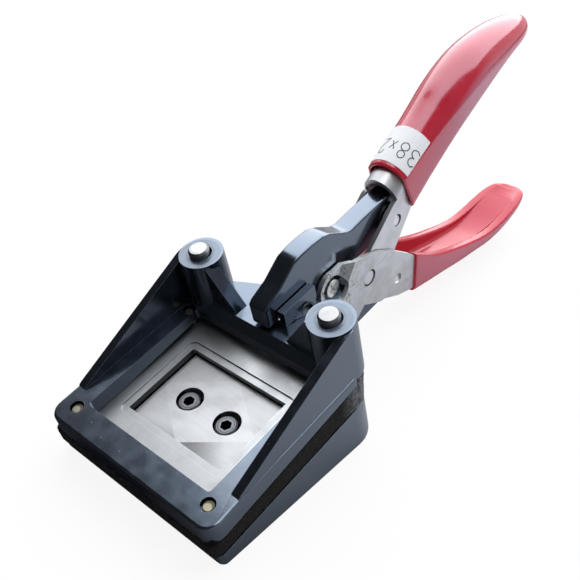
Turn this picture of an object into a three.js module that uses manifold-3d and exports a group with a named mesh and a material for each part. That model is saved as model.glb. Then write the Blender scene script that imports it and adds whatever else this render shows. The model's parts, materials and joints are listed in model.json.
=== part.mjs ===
// Hand-held photo punch: a spring-lifted die frame on two guide pins, a fixed punch block,
// a press arm and a squeeze trigger. Lengths are in millimetres.
// The pieces are laid out in the punch's own frame: X to the right, Y towards the handles,
// Z up along the guide pins, with zero at the middle of the window on the frame's rim.
// The whole punch is then tilted so that it stands on its sloping underside.
import * as THREE from 'three';
import { mergeVertices } from 'three/addons/utils/BufferGeometryUtils.js';
import Module from 'manifold-3d';

const wasm = await Module();
wasm.setup();

// Picture format and the fits that all pieces share
const photoWidth = 38;
const photoDepth = 27;
const photoCentreY = -0.5;
const standTilt = THREE.MathUtils.degToRad(11.8);
const seatGap = 0.3;
const runGap = 0.2;
const cutGap = 0.25;
const overrun = 3;
const pressStroke = 3;

// Upper frame: rim, window, rear wall, ribs and bosses
const windowMarginX = 6.1;
const windowMarginY = 8.9;
const windowWidth = photoWidth + 2 * windowMarginX;
const windowDepth = photoDepth + 2 * windowMarginY;
const rimSide = 8.3;
const rimFront = 8.8;
const rimRear = 7.7;
const frameWidth = windowWidth + 2 * rimSide;
const frameFront = windowDepth / 2 + rimFront;
const frameRear = windowDepth / 2 + rimRear;
const frameCorner = 4.5;
const rimRound = 0.9;
const skirtFlare = 0.15;
const skirtFrontDrop = 6.6;
const skirtRearDrop = 2.9;
const windowCorner = 1.2;
const rearWallThickness = 5.6;
const rearWallHeight = 3;
const deckSideInset = 4.2;
const deckSideReach = 5.7;
const deckCentreReach = 12.8;
const deckThickness = 2.2;
const pinInset = 8;
const pinRadius = 3.25;
const pinTop = 19.7;
const pinChamfer = 0.4;
const bossTop = 17.5;
const bossTopRadius = 7;
const bossFootRadius = 7.05;
const ribThickness = 2.8;
const ribSetback = 12.9;
const ribFrontY = frameFront - ribSetback;
const ribNoseHeight = 0.9;
const webThickness = 4.4;
const webNotchHalf = 9.8;
const cheekThickness = 2.5;
const cheekTop = 8.2;
const cheekRearShare = 0.38;
const springBoreRadius = 5.3;
const springBoreTop = 6;

// Die plate and its screws
const dieDrop = 5.5;
const dieThickness = 2.5;
const dieOverlap = 5.4;
const dieRelief = 2.3;
const dieReliefDepth = 0.6;
const rimScrewOffset = 2.1;
const rimScrewX = windowWidth / 2 + rimScrewOffset;
const rimScrewFrontOffset = 2.5;
const rimScrewFrontY = windowDepth / 2 + rimScrewFrontOffset;
const rimScrewRearOffset = 1.5;
const rimScrewRearY = windowDepth / 2 - rimScrewRearOffset;
const rimScrewHeadRadius = 1.9;
const rimScrewHeadHeight = 1.2;
const rimScrewShankRadius = 1.2;
const rimScrewSink = 2.2;
const rimScrewWell = 2.2;

// Punch block and its socket-head screws
const punchBelowDie = 0.6;
const punchHeight = 7.6;
const punchScrewShare = 0.204;
const punchScrewX = photoWidth * punchScrewShare;
const punchHeadRadius = 3.4;
const punchHeadHeight = 4;
const punchHeadSink = 0.4;
const punchWellRadius = 4.3;
const punchShankRadius = 2;
const punchShankLength = 6.2;
const socketRadius = 1.95;
const socketDepth = 2.4;

// Lower casting, foam pad and tongue
const bedDrop = 12.5;
const baseDrop = 23.1;
const baseSideStep = 0.05;
const baseWidth = frameWidth - 2 * baseSideStep;
const baseFrontStep = 0.2;
const baseFront = frameFront - baseFrontStep;
const baseFrontRound = 1.4;
const baseCorner = 2.3;
const baseRearReach = 7;
const baseRear = frameRear + baseRearReach;
const baseRearCorner = 12;
const foamSheet = 2.4;
const foamCorner = 2.2;
const foamFrontReach = 0.4;
const foamSideInset = 0.1;
const foamSideReach = 1.5;
const foamTailReach = 8.3;
const foamTailRadius = 4;
const foamTailTurn = THREE.MathUtils.degToRad(38);
const foamBulge = 0.5;
const foamSideShare = 0.3;
const foamPinHole = 4.95;
const pinSeatDrop = 20;
const tongueBottom = 25;
const tongueRearReach = 7.5;
const tongueHalf = 4.7;

// Handle channel and its strap plates
const channelHalf = 6.5;
const steelGauge = 1.5;
const channelEndShare = 0.9;
const tailRivetRadius = 1.7;
const tailRivetSteps = 16;

// Press arm, its pins and its driving screw
const framePinReach = 8.9;
const framePinY = frameRear + framePinReach;
const framePinZ = 2.5;
const framePinRadius = 2;
const framePinPlay = 0.4;
const armPivotReach = 55.1;
const armPivotY = frameRear + armPivotReach;
const armPivotZ = 3.5;
const armPinRadius = 2;
const armHalf = 3.5;
const armCrown = 15.9;
const armEdgeRound = 0.9;
const armEyeRadius = 5;
const armTipReach = 13.2;
const driveReach = 22.2;
const driveY = frameRear + driveReach;
const driveZ = -0.3;
const driveEyeRadius = 4.2;
const driveShankRadius = 1.6;
const driveHeadRadius = 3;
const driveHeadHeight = 1.9;
const driveRecess = 0.8;
const driveSlotShare = 1.3;
const driveSlotTurn = THREE.MathUtils.degToRad(25.7);
const nutRadius = 3.1;

// Trigger lever and its grip
const triggerPivotReach = 36.6;
const triggerPivotY = frameRear + triggerPivotReach;
const triggerPivotZ = -6.3;
const triggerPinRadius = 2.5;
const triggerHoleRadius = 3;
const plateGap = 0.25;
const noseStep = 2.7;
const noseRun = 2.4;
const noseRadius = 5.9;
const noseHoleRadius = 4.4;
const crossPinReach = 50.7;
const crossPinY = frameRear + crossPinReach;
const crossPinZ = -18.1;
const crossPinRadius = 1.5;
const crossHoleRadius = 1.9;

// Grips and label
const gripWall = 1.6;
const gripLining = 0.8;
const gripBottomRound = 2.2;
const labelThickness = 0.2;
const labelGap = 0.05;

// Return springs
const springWire = 0.9;
const springMeanRadius = 4.25;
const springCurls = 6;

const pinX = frameWidth / 2 - pinInset;
const pinY = frameRear;
const frameHalf = frameWidth / 2;
const dieBottom = -dieDrop - dieThickness;
const punchTop = dieBottom - punchBelowDie;
const foamBottom = -bedDrop + seatGap;
const plateInner = channelHalf + plateGap;
const plateOuter = plateInner + steelGauge;
const punchBottom = punchTop - punchHeight;
const baseSlope = Math.tan(standTilt);
const baseZ = y => -baseDrop - y * baseSlope;

const roundSegments = 32;
const smallSegments = 20;

// Side-view points are given as a distance behind the guide pins and a height
const fromPins = points => points.map(([reach, height]) => [reach + frameRear, height]);

// Upper grip: pairs of points along its back and belly, as seen from the side.
// The first pair is the mouth. Widths are half widths.
const gripBack = fromPins([
  [59.3, 20.8], [66.9, 23.7], [74.9, 26.6], [82.9, 30], [90.9, 33.7], [98.9, 36.7],
  [106.7, 38.4], [115.3, 38.7], [124, 37.9], [132.6, 36.2], [139.5, 34], [143.2, 31.8],
]);
const gripBelly = fromPins([
  [63, 4], [69.9, 7.9], [76.9, 11.7], [83.9, 15.3], [90.9, 18.6], [98.9, 21.4],
  [106.7, 23.9], [115.3, 26.2], [124, 27.6], [132.6, 28.1], [139.2, 28], [143.3, 28.8],
]);
const gripHalf = [8.3, 8.5, 8.8, 9.1, 9.4, 9.4, 9.3, 9, 8.3, 7.1, 5, 2.2];

// Trigger grip: pairs of points along its rim and its underside
const triggerRim = fromPins([
  [61.5, -15], [66.9, -19.4], [71.9, -23.1], [79.9, -27.9], [89.9, -32.9], [99.9, -37.3],
  [108.4, -40.2], [116.9, -41.5], [125.9, -41.8], [133.4, -41.9], [138.5, -42.2], [141.3, -43],
]);
const triggerUnder = fromPins([
  [58.9, -30.9], [64.9, -32.7], [70.9, -34.6], [78.9, -37.3], [88.4, -40.8], [97.9, -43.7],
  [107.4, -46.1], [116.9, -47], [125.9, -46.3], [132.9, -45.5], [138, -44.8], [140.9, -44.1],
]);
const triggerRound = [2.2, 2.2, 2.4, 2.8, 3.4, 4, 4.6, 5, 5, 5, 5, 5];
const triggerHalf = [9.1, 9.2, 9.3, 9.3, 9.3, 9.3, 9.3, 9.3, 9.1, 8.3, 6.6, 3];

// Turns a closed geometry into a solid that can be joined and cut
function solid(geometry) {
  const bare = geometry.clone();
  bare.deleteAttribute('normal');
  bare.deleteAttribute('uv');
  const merged = mergeVertices(bare, weldTolerance);
  const vertProperties = new Float32Array(merged.attributes.position.array);
  const triVerts = new Uint32Array(merged.index.array);
  return new wasm.Manifold(new wasm.Mesh({ numProp: 3, vertProperties, triVerts }));
}

const weldTolerance = 1e-4;

function geometryOf(body) {
  const mesh = body.getMesh();
  const geometry = new THREE.BufferGeometry();
  const stride = mesh.numProp;
  const count = mesh.vertProperties.length / stride;
  const positions = new Float32Array(count * 3);
  for (let i = 0; i < count; i += 1) {
    positions.set(mesh.vertProperties.subarray(i * stride, i * stride + 3), i * 3);
  }
  geometry.setAttribute('position', new THREE.BufferAttribute(positions, 3));
  geometry.setIndex(Array.from(mesh.triVerts));
  geometry.computeVertexNormals();
  return geometry;
}

const join = (...bodies) => bodies.reduce((whole, body) => whole.add(body));
const cut = (whole, ...tools) => tools.reduce((rest, tool) => rest.subtract(tool), whole);

// A side outline in Y and Z, extruded from x0 to x1
function sidePrism(points, x0, x1) {
  const shape = points instanceof THREE.Shape ? points : shapeOf(points);
  const geometry = new THREE.ExtrudeGeometry(shape, { depth: x1 - x0, bevelEnabled: false });
  geometry.applyMatrix4(new THREE.Matrix4().makeBasis(
    new THREE.Vector3(0, 1, 0), new THREE.Vector3(0, 0, 1), new THREE.Vector3(1, 0, 0)));
  geometry.translate(x0, 0, 0);
  return solid(geometry);
}

// A front outline in X and Z, extruded from y0 to y1
function frontPrism(points, y0, y1) {
  const geometry = new THREE.ExtrudeGeometry(shapeOf(points), { depth: y1 - y0, bevelEnabled: false });
  geometry.applyMatrix4(new THREE.Matrix4().makeBasis(
    new THREE.Vector3(1, 0, 0), new THREE.Vector3(0, 0, 1), new THREE.Vector3(0, -1, 0)));
  geometry.translate(0, y1, 0);
  return solid(geometry);
}

// A plan outline in X and Y, extruded from z0 to z1
function planPrism(shape, z0, z1) {
  const geometry = new THREE.ExtrudeGeometry(shape, { depth: z1 - z0, bevelEnabled: false, curveSegments: 6 });
  geometry.translate(0, 0, z0);
  return solid(geometry);
}

function shapeOf(points) {
  return new THREE.Shape(points.map(([u, v]) => new THREE.Vector2(u, v)));
}

// A rectangle in plan with one corner radius at the front and one at the rear
function planShape(half, front, rear, frontCorner, rearCorner) {
  const shape = new THREE.Shape();
  const quarter = Math.PI / 2;
  shape.absarc(half - frontCorner, front + frontCorner, frontCorner, -quarter, 0);
  shape.absarc(half - rearCorner, rear - rearCorner, rearCorner, 0, quarter);
  shape.absarc(rearCorner - half, rear - rearCorner, rearCorner, quarter, 2 * quarter);
  shape.absarc(frontCorner - half, front + frontCorner, frontCorner, 2 * quarter, 3 * quarter);
  return shape;
}

function box(x0, x1, y0, y1, z0, z1) {
  const geometry = new THREE.BoxGeometry(x1 - x0, y1 - y0, z1 - z0);
  geometry.translate((x0 + x1) / 2, (y0 + y1) / 2, (z0 + z1) / 2);
  return solid(geometry);
}

// Upright round bar from z0 to z1
function post(x, y, z0, z1, footRadius, topRadius = footRadius, segments = roundSegments) {
  const geometry = new THREE.CylinderGeometry(topRadius, footRadius, z1 - z0, segments);
  geometry.rotateX(Math.PI / 2);
  geometry.translate(x, y, (z0 + z1) / 2);
  return solid(geometry);
}

// Round bar along X from x0 to x1
function crossBar(y, z, x0, x1, radius, segments = roundSegments) {
  const geometry = new THREE.CylinderGeometry(radius, radius, x1 - x0, segments);
  geometry.rotateZ(Math.PI / 2);
  geometry.translate((x0 + x1) / 2, y, z);
  return solid(geometry);
}

// Joins rings of points, all alike in count, into one closed body
function loft(rings) {
  const count = rings[0].length;
  const last = rings.length - 1;
  const positions = [];
  const index = [];
  rings.forEach(ring => ring.forEach(p => positions.push(p.x, p.y, p.z)));
  for (let r = 0; r < last; r += 1) {
    for (let i = 0; i < count; i += 1) {
      const a = r * count + i;
      const b = r * count + (i + 1) % count;
      index.push(a, b, b + count, a, b + count, a + count);
    }
  }
  for (const [ring, flip] of [[0, true], [last, false]]) {
    const centre = new THREE.Vector3();
    rings[ring].forEach(p => centre.addScaledVector(p, 1 / count));
    const hub = positions.length / 3;
    positions.push(centre.x, centre.y, centre.z);
    for (let i = 0; i < count; i += 1) {
      const a = ring * count + i;
      const b = ring * count + (i + 1) % count;
      index.push(...(flip ? [b, a, hub] : [a, b, hub]));
    }
  }
  const geometry = new THREE.BufferGeometry();
  geometry.setAttribute('position', new THREE.Float32BufferAttribute(positions, 3));
  geometry.setIndex(index);
  return geometry;
}

// Makes sure that a lofted body has its faces outwards
function outward(geometry) {
  const body = solid(geometry);
  if (body.volume() > 0) return body;
  const flipped = geometry.clone();
  const order = Array.from(flipped.index.array);
  for (let i = 0; i < order.length; i += 3) [order[i], order[i + 1]] = [order[i + 1], order[i]];
  flipped.setIndex(order);
  return solid(flipped);
}

const lerp = (a, b, t) => a + (b - a) * t;

// Section rings between two side lines. The section has a round side of the full half width
// towards the first line and small corners of radius corner at the second.
function sectionRing(first, second, half, grow, corner, steps) {
  const along = new THREE.Vector2(first[0] - second[0], first[1] - second[1]);
  const height = along.length();
  along.normalize();
  const w = half + grow;
  const top = height + grow;
  const bottom = -grow;
  const arch = Math.min(w, (top - bottom) * archShare);
  const c = Math.min(corner, (top - bottom - arch) * archShare);
  const flat = [];
  for (let i = 0; i <= steps; i += 1) {
    const a = Math.PI * i / steps;
    flat.push([w * Math.cos(a), top - arch + arch * Math.sin(a)]);
  }
  for (const side of [-1, 1]) {
    for (let i = 0; i <= cornerSteps; i += 1) {
      const a = Math.PI / 2 * (side < 0 ? i : cornerSteps - i) / cornerSteps;
      flat.push([side * (w - c + c * Math.cos(a)), bottom + c - c * Math.sin(a)]);
    }
  }
  return flat.map(([x, n]) => new THREE.Vector3(
    x, second[0] + along.x * n, second[1] + along.y * n));
}

const archShare = 0.72;
const cornerSteps = 3;
const archSteps = 12;

function sleeve(first, second, halves, grow, corner) {
  return outward(loft(halves.map(
    (half, i) => sectionRing(first[i], second[i], half, grow, corner, archSteps))));
}

// Moves a side line towards another by an amount, pair by pair
function inset(line, other, amount) {
  return line.map(([y, z], i) => {
    const dy = other[i][0] - y;
    const dz = other[i][1] - z;
    const share = amount / Math.hypot(dy, dz);
    return [y + dy * share, z + dz * share];
  });
}

const finish = {
  enamel: { color: 0x15171c, roughness: 0.22, metalness: 0.1 },
  steel: { color: 0xc9ccd3, roughness: 0.35, metalness: 0.9 },
  darkSteel: { color: 0x2a2b2f, roughness: 0.4, metalness: 0.7 },
  brightSteel: { color: 0xe6e8ea, roughness: 0.2, metalness: 0.9 },
  dieSteel: { color: 0xb9bcbf, roughness: 0.38, metalness: 0.85 },
  zinc: { color: 0xd3d6d2, roughness: 0.3, metalness: 0.8 },
  brass: { color: 0xcfc79a, roughness: 0.35, metalness: 0.8 },
  foam: { color: 0x2b2726, roughness: 0.95, metalness: 0 },
  redGrip: { color: 0xc4303f, roughness: 0.25, metalness: 0 },
  paper: { color: 0xf1f3f6, roughness: 0.6, metalness: 0 },
};

const punch = new THREE.Group();

function place(name, body, look) {
  const mesh = new THREE.Mesh(geometryOf(body), new THREE.MeshStandardMaterial(finish[look]));
  mesh.name = name;
  punch.add(mesh);
}

// Upper frame
function makeUpperFrame() {
  const outline = insetBy => planShape(
    frameHalf - insetBy, -frameFront + insetBy, frameRear, frameCorner - insetBy, pinRadius);
  const rimRings = [
    [0, rimRound], [-rimRound / 3, rimRound / 3], [-rimRound, 0],
    [-skirtFrontDrop - overrun, -skirtFlare],
  ].map(([z, insetBy]) => outline(insetBy).getPoints(rimCornerSteps)
    .map(p => new THREE.Vector3(p.x, p.y, z)));
  const slopeTool = sidePrism([
    [-frameFront - overrun, -skirtFrontDrop], [frameRear + overrun, -skirtRearDrop],
    [frameRear + overrun, -skirtFrontDrop - 2 * overrun],
    [-frameFront - overrun, -skirtFrontDrop - 2 * overrun],
  ], -frameWidth, frameWidth);
  const rim = cut(outward(loft(rimRings)), slopeTool);
  const wallRear = windowDepth / 2 + rearWallHeight + rearWallThickness;
  const rearWall = sidePrism([
    [windowDepth / 2, 0], [windowDepth / 2 + rearWallHeight - seatGap, rearWallHeight],
    [wallRear, rearWallHeight], [wallRear, -skirtRearDrop], [windowDepth / 2, -skirtRearDrop],
  ], -pinX, pinX);
  const ribTop = y => ribSlope * (y + ribFrontY) + ribNoseHeight;
  const parts = [rearWall];
  for (const side of [-1, 1]) {
    const outer = side * (frameHalf - rimRound / 2);
    const inner = side * (frameHalf - rimRound / 2 - ribThickness);
    parts.push(sidePrism([
      [-ribFrontY - ribNoseHeight * 2, -rimRound], [-ribFrontY - ribNoseHeight, ribNoseHeight / 2],
      [-ribFrontY, ribNoseHeight], [bossFrontY, ribTop(bossFrontY)],
      [pinY, bossTop - rimRound / 2], [pinY, -rimRound],
    ], Math.min(outer, inner), Math.max(outer, inner)));
    parts.push(post(side * pinX, pinY, -skirtRearDrop, bossTop, bossFootRadius, bossTopRadius));
    const deck = shapeOf([[deckInner, pinY - rearWallThickness / 2], [deckInner, pinY + deckCentreReach],
      [pinX - deckSideInset, pinY + deckSideReach],
      [pinX - deckSideInset, pinY - rearWallThickness / 2]].map(([x, y]) => [side * x, y]));
    parts.push(planPrism(deck, rearWallHeight - deckThickness, rearWallHeight));
    const webOuter = pinX - bossTopRadius / 2;
    parts.push(frontPrism([
      [side * webOuter, 0], [side * webOuter, bossTop - rimRound],
      [side * (pinX - bossTopRadius + rimRound), bossTop - rimRound],
      [side * webNotchHalf, rearWallHeight - runGap], [side * webNotchHalf, 0],
    ], pinY - webThickness, pinY));
    const cheekInner = side * (armHalf + seatGap + rimRound / 9);
    const cheekOuter = cheekInner + side * cheekThickness;
    parts.push(sidePrism([
      [wallRear - rimRound, -skirtRearDrop + rimRound],
      [cheekRear - rimRound * 3, -skirtRearDrop + rimRound],
      [cheekRear, rearWallHeight + rimRound], [cheekRear, cheekTop],
      [wallRear - rimRound, cheekTop],
    ], Math.min(cheekInner, cheekOuter), Math.max(cheekInner, cheekOuter)));
  }
  const holes = [
    planPrism(planShape(windowWidth / 2, -windowDepth / 2, windowDepth / 2, windowCorner, windowCorner),
      -skirtFrontDrop - 2 * overrun, overrun),
    planPrism(planShape(dieHalf + seatGap, dieFrontY - seatGap, dieRearY + seatGap, windowCorner, windowCorner),
      -skirtFrontDrop - 2 * overrun, -dieDrop + seatGap),
    crossBar(framePinY, framePinZ, -cheekSpan, cheekSpan, framePinRadius + seatGap, smallSegments),
  ];
  for (const side of [-1, 1]) {
    holes.push(post(side * pinX, pinY, -skirtRearDrop - overrun, bossTop + overrun, pinRadius + runGap));
    holes.push(post(side * pinX, pinY, -skirtRearDrop - overrun, springBoreTop, springBoreRadius));
    for (const y of [-rimScrewFrontY, rimScrewRearY]) {
      holes.push(post(side * rimScrewX, y, -rimScrewSink, overrun, rimScrewWell, rimScrewWell, smallSegments));
      holes.push(post(side * rimScrewX, y, -skirtFrontDrop - overrun, 0,
        rimScrewShankRadius + runGap, rimScrewShankRadius + runGap, smallSegments));
    }
  }
  place('upper_frame', cut(join(rim, ...parts), ...holes), 'enamel');
}

const rimCornerSteps = 5;
const bossFrontY = pinY - bossTopRadius / 2;
const ribSlope = (bossTop - rimRound - ribNoseHeight) / (bossFrontY + ribFrontY);
const cheekRear = lerp(framePinY, driveY, cheekRearShare);
const cheekSpan = armHalf + cheekThickness * 2;
const deckInner = armHalf + cheekThickness / 2;
const dieHalf = windowWidth / 2 + dieOverlap;
const dieFrontY = -windowDepth / 2 - dieOverlap;
const dieRearY = windowDepth / 2 + runGap * 6;

function makeDiePlate() {
  const halfWidth = photoWidth / 2;
  const halfDepth = photoDepth / 2;
  const opening = box(-halfWidth, halfWidth, photoCentreY - halfDepth, photoCentreY + halfDepth,
    dieBottom - overrun, overrun);
  const relief = planPrism(planShape(halfWidth + dieRelief, photoCentreY - halfDepth - dieRelief,
    photoCentreY + halfDepth + dieRelief, dieRelief, dieRelief), -dieDrop - dieReliefDepth, overrun);
  const plate = planPrism(planShape(dieHalf, dieFrontY, dieRearY, windowCorner, windowCorner),
    dieBottom, -dieDrop);
  const holes = [];
  for (const side of [-1, 1]) {
    for (const y of [-rimScrewFrontY, rimScrewRearY]) {
      holes.push(post(side * rimScrewX, y, dieBottom - overrun, 0,
        rimScrewShankRadius + runGap, rimScrewShankRadius + runGap, smallSegments));
    }
  }
  place('die_plate', cut(plate, opening, relief, ...holes), 'dieSteel');
}

// Round-head screws that hold the die plate under the rim
function makeRimScrews() {
  const places = { front_left: [-1, -rimScrewFrontY], front_right: [1, -rimScrewFrontY],
    rear_left: [-1, rimScrewRearY], rear_right: [1, rimScrewRearY] };
  for (const [name, [side, y]] of Object.entries(places)) {
    const x = side * rimScrewX;
    const seat = -rimScrewSink + seatGap;
    const head = post(x, y, seat, seat + rimScrewHeadHeight,
      rimScrewHeadRadius, rimScrewHeadRadius * screwDomeShare, smallSegments);
    const shank = post(x, y, dieBottom + seatGap, seat + seatGap,
      rimScrewShankRadius, rimScrewShankRadius, smallSegments);
    place(`rim_screw_${name}`, join(head, shank), 'brass');
  }
}

const screwDomeShare = 0.85;

function makePunchBlock() {
  const halfWidth = photoWidth / 2 - cutGap;
  const halfDepth = photoDepth / 2 - cutGap;
  const block = box(-halfWidth, halfWidth, photoCentreY - halfDepth, photoCentreY + halfDepth,
    punchBottom, punchTop);
  const tools = [];
  for (const side of [-1, 1]) {
    const x = side * punchScrewX;
    tools.push(post(x, photoCentreY, headBottom - seatGap, punchTop + overrun, punchWellRadius));
    tools.push(post(x, photoCentreY, punchBottom - overrun, punchTop,
      punchShankRadius + runGap, punchShankRadius + runGap, smallSegments));
  }
  place('punch_block', cut(block, ...tools), 'brightSteel');
  for (const [name, side] of [['left', -1], ['right', 1]]) {
    const x = side * punchScrewX;
    const head = post(x, photoCentreY, headBottom, headBottom + punchHeadHeight, punchHeadRadius);
    const shank = post(x, photoCentreY, headBottom - punchShankLength, headBottom + seatGap,
      punchShankRadius, punchShankRadius, smallSegments);
    const socket = post(x, photoCentreY, headBottom + punchHeadHeight - socketDepth,
      headBottom + punchHeadHeight + overrun, socketRadius, socketRadius, 6);
    place(`punch_screw_${name}`, cut(join(head, shank), socket), 'darkSteel');
  }
}

const headBottom = punchTop - punchHeadSink - punchHeadHeight;

function makeLowerCasting() {
  const plan = planPrism(planShape(baseWidth / 2, -baseFront, baseRear, baseCorner, baseRearCorner),
    baseZ(baseRear) - overrun, 0);
  const side = sidePrism([
    [-baseFront - overrun, -bedDrop], [-baseFront - overrun, baseZ(-baseFront) + baseFrontRound],
    [-baseFront, baseZ(-baseFront) + baseFrontRound],
    [-baseFront + baseFrontRound / 4, baseZ(-baseFront) + baseFrontRound / 4],
    [-baseFront + baseFrontRound, baseZ(-baseFront + baseFrontRound)],
    [baseRear + overrun, baseZ(baseRear + overrun)], [baseRear + overrun, -bedDrop],
  ], -baseWidth, baseWidth);
  const tongue = sidePrism([
    [baseRear - tongueDrop * 2, -bedDrop - tongueDrop], [baseRear - tongueDrop * 2, -bedDrop],
    [baseRear, -bedDrop], [baseRear + tongueDrop * 2, tongueTop],
    [lerp(baseRear, triggerPivotY, tongueFlatShare), tongueTop],
    [triggerPivotY, tongueTop - tongueDrop],
    [tongueRear, tongueTop - tongueDrop * 2], [tongueRear, -tongueBottom],
    [baseRear - tongueDrop * 2, -tongueBottom],
  ], -tongueHalf, tongueHalf);
  const seat = box(-photoWidth / 2, photoWidth / 2, photoCentreY - photoDepth / 2,
    photoCentreY + photoDepth / 2, punchBottom - seatGap, 0);
  const tools = [seat];
  for (const direction of [-1, 1]) {
    tools.push(post(direction * punchScrewX, photoCentreY, headBottom - punchShankLength - seatGap, 0,
      punchShankRadius + runGap, punchShankRadius + runGap, smallSegments));
    tools.push(post(direction * pinX, pinY, -pinSeatDrop - seatGap, 0, pinRadius + runGap));
  }
  for (const [y, z] of tailRivets) {
    tools.push(crossBar(y, z, -tongueHalf - overrun, tongueHalf + overrun,
      tailRivetRadius + runGap, tailRivetSteps));
  }
  place('lower_casting', cut(join(plan.intersect(side), tongue), ...tools), 'enamel');
}

const tongueTop = -10.2;
const tongueDrop = 1.5;
const tongueFlatShare = 0.75;
const tongueRear = triggerPivotY + tongueRearReach;
const tailRivets = fromPins([[26.1, -16.8], [36.2, -14.6]]);

function foamRing(swell, z) {
  const quarter = Math.PI / 2;
  const tail = swell * foamBulge;
  const side = tail * foamSideShare;
  const shape = new THREE.Shape();
  shape.absarc(foamCornerX, foamFrontY, foamCorner + side, -quarter, 0);
  shape.lineTo(foamCornerX + foamCorner + side, foamSideEnd - foamCorner * 3);
  shape.absarc(foamCornerX, foamSideEnd, foamCorner + tail, 0, foamTailTurn);
  shape.absarc(foamTailX, foamTailY, foamTailRadius + tail, foamTailTurn, quarter);
  shape.absarc(-foamTailX, foamTailY, foamTailRadius + tail, quarter, 2 * quarter - foamTailTurn);
  shape.absarc(-foamCornerX, foamSideEnd, foamCorner + tail, 2 * quarter - foamTailTurn, 2 * quarter);
  shape.lineTo(-foamCornerX - foamCorner - side, foamSideEnd - foamCorner * 3);
  shape.absarc(-foamCornerX, foamFrontY, foamCorner + side, 2 * quarter, 3 * quarter);
  return shape.getPoints(foamCornerSteps).map(p => new THREE.Vector3(p.x, p.y, z));
}

// A sheet under the die, with a raised rim that fills the gap under the frame
function makeFoamPad() {
  const rings = [[0, 0], [0.15, 0.55], [0.4, 1], [0.65, 1], [0.88, 0.55], [1, 0]].map(
    ([share, swell]) => foamRing(swell, lerp(foamBottom, -skirtRearDrop, share)));
  const sheetTop = foamBottom + foamSheet;
  const underFrame = sidePrism([
    [-frameFront - overrun, -skirtFrontDrop - seatGap], [frameRear + overrun, -skirtRearDrop - seatGap],
    [baseRear * 2, -skirtRearDrop - seatGap], [baseRear * 2, overrun], [-frameFront - overrun, overrun],
  ], -frameWidth, frameWidth);
  const underDie = box(-dieHalf - seatGap, dieHalf + seatGap, dieFrontY - seatGap, dieRearY + seatGap,
    sheetTop, overrun);
  const underArm = box(-webNotchHalf, webNotchHalf, 0, baseRear * 2, sheetTop, overrun);
  const hole = box(-photoWidth / 2 - seatGap, photoWidth / 2 + seatGap,
    photoCentreY - photoDepth / 2 - seatGap, photoCentreY + photoDepth / 2 + seatGap,
    foamBottom - overrun, 0);
  const keepOff = box(-tongueHalf - seatGap, tongueHalf + seatGap, baseRear - tongueDrop,
    baseRear * 2, foamBottom - overrun, 0);
  const wells = [-1, 1].map(side => post(side * pinX, pinY, foamBottom - overrun, 0, foamPinHole));
  place('foam_pad', cut(outward(loft(rings)), underFrame, underDie, underArm, hole, keepOff, ...wells), 'foam');
}

const foamCornerSteps = 6;
const foamCornerX = frameHalf - foamSideInset - foamCorner;
const foamFrontY = -frameFront - foamFrontReach + foamCorner;
const foamSideEnd = pinY - foamSideReach;
const foamTailY = pinY + foamTailReach - foamTailRadius;
const foamTailX = foamCornerX + (foamCorner - foamTailRadius) * Math.cos(foamTailTurn)
  - (foamTailY - foamSideEnd + (foamTailRadius - foamCorner) * Math.sin(foamTailTurn)) * Math.tan(foamTailTurn);

function makeGuidePins() {
  for (const [name, side] of [['left', -1], ['right', 1]]) {
    const shaft = post(side * pinX, pinY, -pinSeatDrop, pinTop - pinChamfer, pinRadius);
    const end = post(side * pinX, pinY, pinTop - pinChamfer, pinTop, pinRadius, pinRadius - pinChamfer);
    place(`guide_pin_${name}`, join(shaft, end), 'brightSteel');
  }
}

// One unbroken tube wound round each guide pin, between the casting and the boss
function makeReturnSprings() {
  const foot = -bedDrop + seatGap + springWire / 2;
  const head = springBoreTop - seatGap - springWire / 2;
  const pitch = (head - foot) / springCurls;
  const stepsPerCurl = 8;
  const sides = 5;
  const steps = springCurls * stepsPerCurl;
  const rise = pitch / (2 * Math.PI * springMeanRadius);
  const axis = new THREE.Vector3(0, 0, 1);
  for (const [name, side] of [['left', -1], ['right', 1]]) {
    const rings = [];
    const centres = [];
    for (let i = 0; i <= steps; i += 1) {
      const a = 2 * Math.PI * i / stepsPerCurl;
      const radial = new THREE.Vector3(Math.cos(a), Math.sin(a), 0);
      const tangent = new THREE.Vector3(-Math.sin(a), Math.cos(a), rise).normalize();
      const normal = tangent.clone().cross(radial).normalize();
      const centre = new THREE.Vector3(side * pinX, pinY, foot + pitch * i / stepsPerCurl)
        .addScaledVector(radial, springMeanRadius);
      centres.push(centre);
      const ring = [];
      for (let k = 0; k < sides; k += 1) {
        const b = 2 * Math.PI * k / sides;
        ring.push(centre.clone().addScaledVector(radial, springWire / 2 * Math.cos(b))
          .addScaledVector(normal, springWire / 2 * Math.sin(b)));
      }
      rings.push(ring);
    }
    let least = Infinity;
    for (let i = 0; i < centres.length; i += 1) {
      for (let k = i + stepsPerCurl / 2; k < centres.length; k += 1) {
        least = Math.min(least, centres[i].distanceTo(centres[k]) - springWire);
      }
    }
    console.log(`return_spring_${name}: least gap to itself ${least.toFixed(2)} mm`);
    place(`return_spring_${name}`, outward(loft(rings)), 'steel');
  }
}

// Handle channel: round back, open belly, and two strap plates down to the tongue
const channelBack = inset(gripBack, gripBelly, gripWall);
const channelBelly = inset(gripBelly, gripBack, gripWall);
const channelStations = Math.round(gripBack.length * channelEndShare);
const roofFront = fromPins([[54.8, 17.3], [57.9, 3]]);
const strapOutline = fromPins([
  [54.1, 10.6], [38.5, 0.2], [30.9, -5], [23.9, -11], [21.9, -14.5], [22.3, -20.4], [24.1, -22.2],
  [29.9, -20.6], [34.5, -17.6], [44.2, -15.3], [62.5, 3], [65.9, 9], [61.9, 13],
]);

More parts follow.
